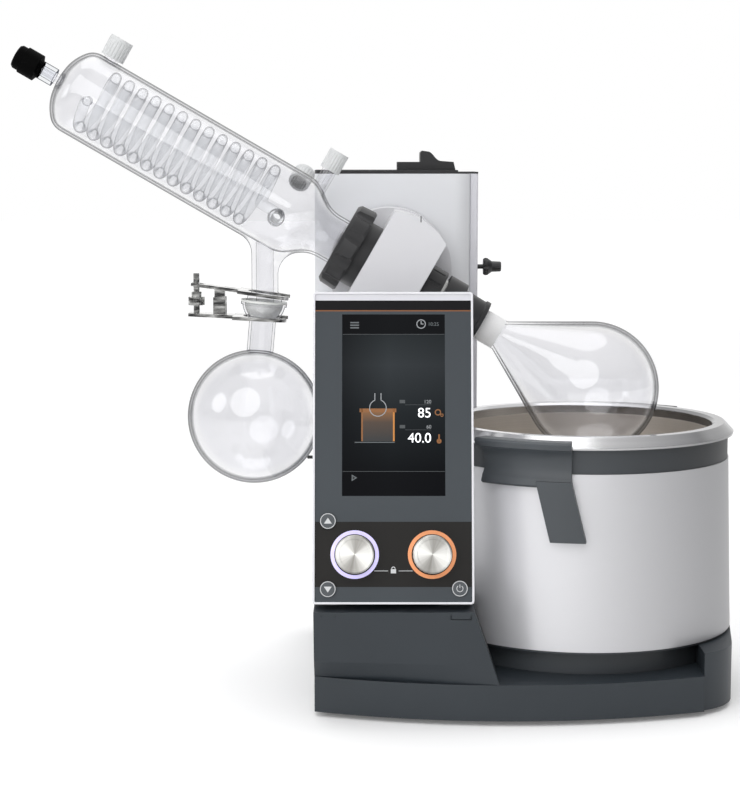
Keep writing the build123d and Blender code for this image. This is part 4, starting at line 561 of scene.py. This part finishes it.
def screen_finish():
    """The lit display: near black, a little lighter in its middle field, under glass."""
    material, tree = new_tree("screen")
    glow = ramp(
        tree,
        rise_share(tree, SCREEN_BOTTOM, SCREEN_TOP),
        [
            (0.0, (0.0030, 0.0036, 0.0040)),
            (0.132, (0.0030, 0.0036, 0.0040)),
            (0.135, (0.0030, 0.0042, 0.0046)),
            (0.45, (0.014, 0.018, 0.020)),
            (0.72, (0.036, 0.042, 0.046)),
            (0.887, (0.022, 0.027, 0.029)),
            (0.890, (0.0032, 0.0040, 0.0043)),
        ],
    )
    across = span(tree, along(tree, RIGHT, PANEL_FOOT), SCREEN_LEFT, SCREEN_RIGHT)
    middle = ramp(tree, across, [(0.0, grey(0.35)), (0.45, grey(1.0)), (1.0, grey(0.75))])
    surface(
        tree,
        Base_Color=(0.002, 0.002, 0.003),
        Roughness=0.2,
        Emission_Color=mix_colour(tree, 1.0, glow, middle, "MULTIPLY"),
        Emission_Strength=1.0,
        Specular_IOR_Level=0.04,
        Normal=rounded_normal(tree, 0.2 * MM, noise(tree, 900.0), 0.01),
    )
    return material


def ring_finish():
    """The two light rings: cool violet on the left, copper on the right."""
    material, tree = new_tree("led_ring")
    which = math_node(tree, "GREATER_THAN", along(tree, RIGHT, PANEL_FOOT), 0.0)
    colour = mix_colour(tree, which, VIOLET_RING, COPPER_RING)
    surface(
        tree,
        Base_Color=colour,
        Roughness=0.35,
        Emission_Color=colour,
        Emission_Strength=span(tree, noise(tree, 60.0), to_low=0.20, to_high=0.55),
    )
    return material


def glowing(name, colour, strength):
    """A lit graphic: its colour glows softly and unevenly."""
    material, tree = new_tree(name)
    surface(
        tree,
        Base_Color=colour,
        Roughness=0.4,
        Emission_Color=colour,
        Emission_Strength=swing(tree, noise(tree, 600.0), strength, 0.08),
    )
    return material


def amber_fade():
    """The glow of the bath pictogram: amber at its brim, fading out towards its foot."""
    material, tree = new_tree("ui_amber_fade")
    share = rise_share(tree, GLOW_FOOT, PICTURE_BRIM)
    stops = ((0.0, grey(0.006)), (0.55, (0.05, 0.022, 0.006)), (1.0, (0.26, 0.10, 0.014)))
    surface(
        tree,
        Base_Color=grey(0.002),
        Roughness=0.3,
        Emission_Color=ramp(tree, share, stops),
        Emission_Strength=1.0,
    )
    return material


# Finishes of the CAD pieces


def dress(material, *names):
    """Gives a material to CAD pieces."""
    for name in names:
        slots = NODES[name].data.materials
        slots.clear()
        slots.append(material)


dress(
    grained("dark_cast", ANTHRACITE, 0.45, grain=1500.0, strength=0.10, edge=0.9 * MM),
    "base_plate",
    "bath_dock",
    "pedestal_cover",
)
dress(
    grained("foot_rubber", RUBBER, 0.8, grain=700.0, strength=0.2),
    "rubber_feet",
    "vacuum_seal",
    "drive_belt",
)
dress(
    grained("black_plastic", BLACK_PLASTIC, 0.38, grain=1300.0, strength=0.10),
    "power_inlet",
    "union_nut",
    "coupling_flange",
    "flask_clip",
    "hub_collar",
    "tilt_lock_knob",
    "hose_guide",
    "side_nipple",
    "hood_top_cap",
    "motor_pulley",
)
dress(capped_tube("tip_cap"), "end_cap")
# Painted shade darkens the collar, foot ring and handles towards the bath's right
dress(
    grained("dark_plastic", DARK_PLASTIC, 0.45, grain=1300.0, strength=0.14, right=0.2),
    "bath_collar",
    "bath_foot_ring",
    "bath_handles",
)
dress(
    grained("panel_white", WHITE, 0.30, grain=2000.0, strength=0.04, edge=1.0 * MM, drift=0.03),
    "panel_housing",
)
dress(milky("cap_milky", MILKY_CAP), "vent_cap", "feed_cap", "coolant_cap")
dress(milky("liner_milky", MILKY_LINER), "joint_liner")
dress(painted("hood_paint", HOOD_GREY, 0.42, edge=1.5 * MM), "tower_hood")
dress(painted("trim_paint", TRIM_GREY, 0.45), "hood_side_trim")
dress(painted("head_paint", HEAD_GREY, 0.34), "drive_housing", "drum_cover")
dress(brushed_shell("bath_silver"), "bath_shell")
dress(grained("circuit", CIRCUIT_GREEN, 0.4, grain=900.0, strength=0.05), "control_board")
dress(
    grained("bronze", BRONZE, 0.35, grain=900.0, strength=0.05, edge=0.4 * MM, metallic=1.0),
    "lift_nut",
)
dress(
    grained(
        "cast_aluminium", ALUMINIUM, 0.5, grain=700.0, strength=0.18, edge=0.8 * MM, metallic=1.0
    ),
    "mast",
    "carriage",
    "heater_plate",
)
dress(
    grained(
        "bright_steel",
        STEEL,
        0.18,
        grain=1400.0,
        strength=0.04,
        edge=0.5 * MM,
        metallic=1.0,
        drift=0.10,
    ),
    "guide_rods",
    "lift_screw",
    "rotor_bearings",
    "rotor_hub",
    "drive_motor",
    "lift_motor",
    "pivot_trunnion",
)
dress(polished_sheet("clamp_sheet"), "clamp_lower_jaw", "clamp_upper_jaw", "clamp_nut")
dress(turned_metal("bowl_steel", BOWL_STEEL, 0.40), "bath_bowl")
# Painted shade and reflection darken the rim towards the bath's right
dress(
    turned_metal("rim_chrome", RIM_CHROME, 0.14, ring_scale=500.0, edge=1.2 * MM, right=0.3),
    "bath_rim",
)
dress(knob_metal("knob_left_metal", LEFT_KNOB), "knob_left")
dress(knob_metal("knob_right_metal", RIGHT_KNOB), "knob_right")
dress(
    grained("key_cap", FASCIA_GREY, 0.45, grain=1500.0, strength=0.04, edge=0.3 * MM),
    "button_up",
    "button_down",
    "button_power",
)
dress(fascia_finish(), "panel_fascia")
dress(screen_finish(), "display_glass")
dress(ring_finish(), "led_rings")
# Each glass gets painted shade at its edges; the coil's is lighter
dress(clear_glass("jacket_glass"), "condenser_jacket")
dress(
    clear_glass("coil_glass", edge=(0.15, 0.16, 0.18), body=(0.965, 0.97, 0.975), veil=0.10),
    "cooling_coil",
)
dress(clear_glass("flask_glass", frost=neck_frost), "evaporating_flask")
dress(clear_glass("receiver_glass"), "receiving_flask")
dress(clear_glass("vapour_glass"), "vapour_tube")


# Panel graphics


UI_WHITE = glowing("ui_white", (0.86, 0.88, 0.90), 0.9)
UI_GREY = glowing("ui_grey", (0.20, 0.21, 0.22), 0.6)
UI_DIM = glowing("ui_dim", (0.07, 0.08, 0.085), 0.6)
UI_FAINT = glowing("ui_faint", (0.035, 0.040, 0.043), 0.6)
UI_AMBER = glowing("ui_amber", (0.34, 0.13, 0.02), 0.7)
UI_RUST = glowing("ui_rust", (0.16, 0.06, 0.012), 0.6)
INK = printed("panel_ink", (0.62, 0.63, 0.64))


def panel_point(x, out, rise):
    """A point from the panel's foot: across, out of the fascia's face and up along it."""
    return PANEL_FOOT + Vector((x, 0, 0)) + PANEL_OUT * out + PANEL_UP * rise


def front_point(x, out, rise):
    """A point from the pivot, on an upright front: across, towards the viewer and up."""
    return PIVOT + Vector((x, -out, rise))


def new_object(name, data):
    """A new object in the scene."""
    piece = bpy.data.objects.new(name, data)
    bpy.context.collection.objects.link(piece)
    return piece


def mesh_piece(name, verts, faces, material, body):
    """A new mesh piece that rides on a body."""
    data = bpy.data.meshes.new(name)
    data.from_pydata([tuple(v) for v in verts], [], faces)
    data.update()
    piece = new_object(name, data)
    data.materials.append(material)
    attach(piece, body)


def plate(name, outline, material, body="base", out=ON_FASCIA, place=panel_point):
    """A thin flat graphic from (across, rise) points, counter-clockwise as seen from the front."""
    count = len(outline)
    verts = [place(x, depth, z) for depth in (out + PRINT, out) for x, z in outline]
    faces = [list(range(count)), list(range(2 * count - 1, count - 1, -1))]
    faces += [[i, i + count, (i + 1) % count + count, (i + 1) % count] for i in range(count)]
    mesh_piece(name, verts, faces, material, body)


def bar(name, x0, x1, z0, z1, material, body="base", out=ON_FASCIA, place=panel_point):
    """A flat bar."""
    plate(name, [(x0, z0), (x1, z0), (x1, z1), (x0, z1)], material, body, out, place)


def stroke(name, x, half, z0, z1, material, body="base", out=ON_FASCIA):
    """An upright bar from its middle line and half its width."""
    bar(name, x - half, x + half, z0, z1, material, body, out)


def ring(name, x, z, outer, inner, material, body="base", start=0.0, sweep=360.0, out=ON_FASCIA):
    """A flat ring, or part of one from a start angle."""
    steps = max(12, round(sweep / 7.5))
    angles = [math.radians(start + sweep * i / steps) for i in range(steps + 1)]
    verts = []
    for depth in (out + PRINT, out):
        for radius in (inner, outer):
            for a in angles:
                turned_x, turned_z = x + radius * math.cos(a), z + radius * math.sin(a)
                verts.append(panel_point(turned_x, depth, turned_z))
    row = steps + 1
    faces = []
    for i in range(steps):
        front_in, front_out, back_in, back_out = i, row + i, 2 * row + i, 3 * row + i
        faces.append([front_in, front_out, front_out + 1, front_in + 1])
        faces.append([back_in + 1, back_out + 1, back_out, back_in])
        faces.append([front_out, back_out, back_out + 1, front_out + 1])
        faces.append([front_in + 1, back_in + 1, back_in, front_in])
    if sweep < 360:
        faces.append([0, 2 * row, 3 * row, row])
        faces.append([2 * row - 1, 4 * row - 1, 3 * row - 1, row - 1])
    mesh_piece(name, verts, faces, material, body)


def label(name, text, x, z, size, material, align="LEFT"):
    """Plain figures on the panel."""
    curve = bpy.data.curves.new(name, "FONT")
    curve.body = text
    curve.size = size
    curve.align_x = align
    curve.extrude = FIGURE_DEPTH
    curve.materials.append(material)
    piece = new_object(name, curve)
    turn = Matrix((RIGHT, PANEL_UP, PANEL_OUT)).transposed().to_4x4()
    piece.matrix_world = Matrix.Translation(panel_point(x, ON_FIGURES, z)) @ turn
    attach(piece, "base")


def screen_head():
    """Menu bars, clock and the two thin lines that divide the screen."""
    left, right, top = SCREEN_LEFT, SCREEN_RIGHT, SCREEN_TOP
    for row in range(3):
        z = top - (8.2 + 2.4 * row) * MM
        bar(f"menu_bar_{row}", left + 7.4 * MM, left + 15.4 * MM, z, z + 1.2 * MM, UI_DIM)
    x, z, half = left + 72.4 * MM, top - 8.9 * MM, 0.4 * MM
    ring("clock_face", x, z, 4.3 * MM, 3.5 * MM, UI_GREY)
    stroke("clock_hand_long", x, half, z, z + 2.8 * MM, UI_GREY)
    bar("clock_hand_short", x, x + 2.2 * MM, z - half, z + half, UI_GREY)
    label("clock_digits", "10:25", left + 78.6 * MM, top - 10.5 * MM, SMALL_FIGURES, UI_DIM)
    for name, z in (("head_line", HEAD_LINE), ("foot_line", FOOT_LINE)):
        bar(name, left + 0.5 * MM, right - 0.5 * MM, z, z + 0.4 * MM, UI_FAINT)


def screen_pictogram():
    """A generic flask over an amber heating bath."""
    left, right = SCREEN_LEFT + 17.5 * MM, SCREEN_LEFT + 48.0 * MM
    foot, brim, wall = PICTURE_FOOT, PICTURE_BRIM, 1.5 * MM
    bar("bath_glow", left, right, foot, brim, amber_fade())
    bar("bath_brim", left - wall, right + wall, brim - 3.4 * MM, brim, UI_RUST, out=SECOND_LAYER)
    bar("bath_wall_left", left, left + wall, foot, brim, UI_RUST, out=SECOND_LAYER)
    bar("bath_wall_right", right - wall, right, foot, brim, UI_AMBER, out=SECOND_LAYER)
    bar("bath_foot", left - 6 * MM, right, foot - 1.4 * MM, foot - 0.6 * MM, UI_DIM)
    x, z = (left + right) / 2, brim + 0.5 * MM
    ring(
        "flask_bulb", x, z, 8.0 * MM, 7.2 * MM, UI_GREY, start=112, sweep=316, out=THIRD_LAYER
    )
    low, high = brim + 7.6 * MM, brim + 14 * MM
    for side in (-1, 1):
        name = f"flask_neck_{side + 1}"
        stroke(name, x + side * 2.8 * MM, 0.4 * MM, low, high, UI_GREY, out=THIRD_LAYER)


def screen_readings():
    """Two readings with their set values and icons."""
    edge = SCREEN_LEFT + 81.6 * MM
    middle = edge - 24 * MM
    rows = (("speed", "120", "85", SPEED_LINE), ("heat", "60", "40.0", HEAT_LINE))
    for name, small, big, z in rows:
        label(f"{name}_set", small, edge, z + 12.8 * MM, SMALL_FIGURES, UI_GREY, "RIGHT")
        label(f"{name}_value", big, edge, z, LARGE_FIGURES, UI_WHITE, "RIGHT")
        bar(f"{name}_rule", middle, edge, z + 11.4 * MM, z + 11.7 * MM, UI_FAINT)
        bar(f"{name}_mark", edge - 29 * MM, middle, z + 13 * MM, z + 16 * MM, UI_FAINT)
    x = SCREEN_LEFT + 87.6 * MM
    ring("speed_icon", x, SPEED_LINE + 4.6 * MM, 2.9 * MM, 1.9 * MM, UI_RUST)
    ring("speed_icon_small", x + 3.6 * MM, SPEED_LINE + 2.0 * MM, 1.5 * MM, 0.8 * MM, UI_RUST)
    x += 1 * MM
    stroke("heat_icon_stem", x, 0.7 * MM, HEAT_LINE + 2 * MM, HEAT_LINE + 7.5 * MM, UI_RUST)
    ring("heat_icon_bulb", x, HEAT_LINE + 1.2 * MM, 2.2 * MM, 0.4 * MM, UI_RUST)


def screen_start():
    """The start key: a hollow arrow."""
    black = printed("ui_black", (0.003, 0.003, 0.004))
    x, z = SCREEN_LEFT + 8.8 * MM, SCREEN_BOTTOM + 13.6 * MM
    plate("start_arrow", [(x, z), (x + 5 * MM, z + 3 * MM), (x, z + 6 * MM)], UI_DIM)
    inner = x + 0.9 * MM
    hollow = [(inner, z + 1.5 * MM), (x + 3.4 * MM, z + 3 * MM), (inner, z + 4.5 * MM)]
    plate("start_arrow_hollow", hollow, black, out=SECOND_LAYER)


def key_graphics():
    """Ring and symbol on each key."""
    for kind, node, body, z in KEYS:
        low, high = [Vector(corner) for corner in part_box(node)]
        x = (low.x + high.x) / 2 - PANEL_FOOT.x
        ring(f"{kind}_key_ring", x, z, 7.0 * MM, 6.35 * MM, INK, body, out=ON_BUTTON)
        if kind == "power":
            ring("power_arc", x, z, 3.1 * MM, 2.5 * MM, INK, body, 125, 290, ON_BUTTON)
            foot, tip = z + 0.6 * MM, z + 3.8 * MM
            stroke("power_stroke", x, 0.3 * MM, foot, tip, INK, body, ON_BUTTON)
        else:
            way = 1 if kind == "up" else -1
            foot, tip = z - 2.3 * way * MM, z + 3.0 * way * MM
            corners = [(x - 3.6 * MM, foot), (x + 3.6 * MM, foot), (x, tip)]
            plate(f"{kind}_arrow", corners[::way], INK, body, ON_BUTTON)


def lock_graphics():
    """The padlock between the knobs, with a line to each."""
    left, right = LEFT_KNOB.x - PIVOT.x, RIGHT_KNOB.x - PIVOT.x
    x, z = (left + right) / 2, LOCK_RISE
    stroke("lock_body", x, 2.4 * MM, z - 2.2 * MM, z + 1.6 * MM, INK)
    ring("lock_shackle", x, z + 2.0 * MM, 1.9 * MM, 1.2 * MM, INK, "base", 0, 180)
    low, high = z - 0.25 * MM, z + 0.25 * MM
    bar("lock_line_left", left + 17.6 * MM, x - 4.8 * MM, low, high, INK)
    bar("lock_line_right", x + 4.8 * MM, right - 17.6 * MM, low, high, INK)


def drum_tick():
    """The short index line near the top of the drum's front."""
    face = PIVOT.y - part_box("drum_cover")[0][1] + ON_FASCIA
    ink = printed("index_ink", BLACK)
    sides = (28.0 * MM, 28.9 * MM, 49.4 * MM, 55.4 * MM)
    bar("index_line", *sides, ink, "head", face, front_point)


screen_head()
screen_pictogram()
screen_readings()
screen_start()
key_graphics()
lock_graphics()
drum_tick()


# Studio and camera


def seen_straight(tree):
    """1 where the camera sees a surface itself or through clear glass, 0 for other light."""
    return add(tree, "LightPath").outputs["Is Camera Ray"]


def lit_floor():
    """A pale floor that the camera sees as evenly white, without more light on the object."""
    material, tree = new_tree("floor_pale")
    lift = span(tree, length(tree, coords(tree)), 0.8, 6.0, 0.13, 0.36)
    surface(
        tree,
        Base_Color=mix_colour(tree, noise(tree, 3.0), grey(0.88), grey(0.90)),
        Roughness=0.8,
        Specular_IOR_Level=0.0,
        Emission_Color=grey(1.0),
        Emission_Strength=times(tree, lift, seen_straight(tree)),
    )
    return material


def floor():
    """A square floor."""
    half = FLOOR_SIDE / 2
    corners = [(-half, -half, 0), (half, -half, 0), (half, half, 0), (-half, half, 0)]
    data = bpy.data.meshes.new("floor")
    data.from_pydata(corners, [], [[0, 1, 2, 3]])
    data.materials.append(lit_floor())
    piece = new_object("floor", data)


def surround():
    """A surround that the camera sees as white.

    For light it is white at the back, and greyer behind the viewer and at the sides, so that forms
    keep their shade.
    """
    world = bpy.data.worlds.new("surround")
    bpy.context.scene.world = world
    world.use_nodes = True
    tree = world.node_tree
    way = add(tree, "SeparateXYZ", Vector=add(tree, "TexCoord").outputs["Generated"]).outputs
    rear = ramp(tree, span(tree, way["Y"], 0.2, 0.56), [(0.0, grey(0.0)), (1.0, grey(1.0))])
    sides = ramp(
        tree,
        span(tree, way["X"], -1.0, 1.0),
        [
            (0.0, (0.60, 0.60, 0.61)),
            (0.42, (0.52, 0.52, 0.53)),
            (0.60, (0.33, 0.33, 0.34)),
            (1.0, (0.26, 0.26, 0.27)),
        ],
    )
    top = ramp(
        tree,
        span(tree, way["Z"]),
        [(0.25, grey(0.0)), (0.65, (0.72, 0.72, 0.73)), (1.0, grey(0.95))],
    )
    lightest = mix_colour(tree, 1.0, rear, sides, "LIGHTEN")
    lightest = mix_colour(tree, 1.0, lightest, top, "LIGHTEN")
    back = tree.nodes["Background"]
    seen = mix_colour(tree, seen_straight(tree), lightest, grey(1.0))
    tree.links.new(seen, back.inputs["Color"])
    back.inputs["Strength"].default_value = 1.0


def lamps():
    """Soft round lamps, each aimed at a point."""
    for name, place, aim, size, watts in LAMPS:
        data = bpy.data.lights.new(name, "AREA")
        data.shape = "DISK"
        data.size = size
        data.energy = watts
        lamp = new_object(name, data)
        lamp.location = place
        way = Vector(aim) - Vector(place)
        lamp.rotation_euler = way.to_track_quat("-Z", "Y").to_euler()


def camera():
    """The photograph's viewpoint."""
    data = bpy.data.cameras.new("view")
    data.sensor_fit = "VERTICAL"
    data.sensor_height = SENSOR
    data.lens = FOCAL_PIXELS / PICTURE_HEIGHT * SENSOR
    data.clip_end = 50.0
    view = new_object("view", data)
    view.location = (PIVOT.x - CAMERA_LEFT_OF_PIVOT, PIVOT.y - CAMERA_DISTANCE, CAMERA_HEIGHT)
    view.rotation_euler = (math.radians(90 - CAMERA_PITCH), 0, 0)
    bpy.context.scene.camera = view


floor()
surround()
lamps()
camera()
bpy.context.scene.view_settings.view_transform = "Standard"

bpy.context.view_layer.update()
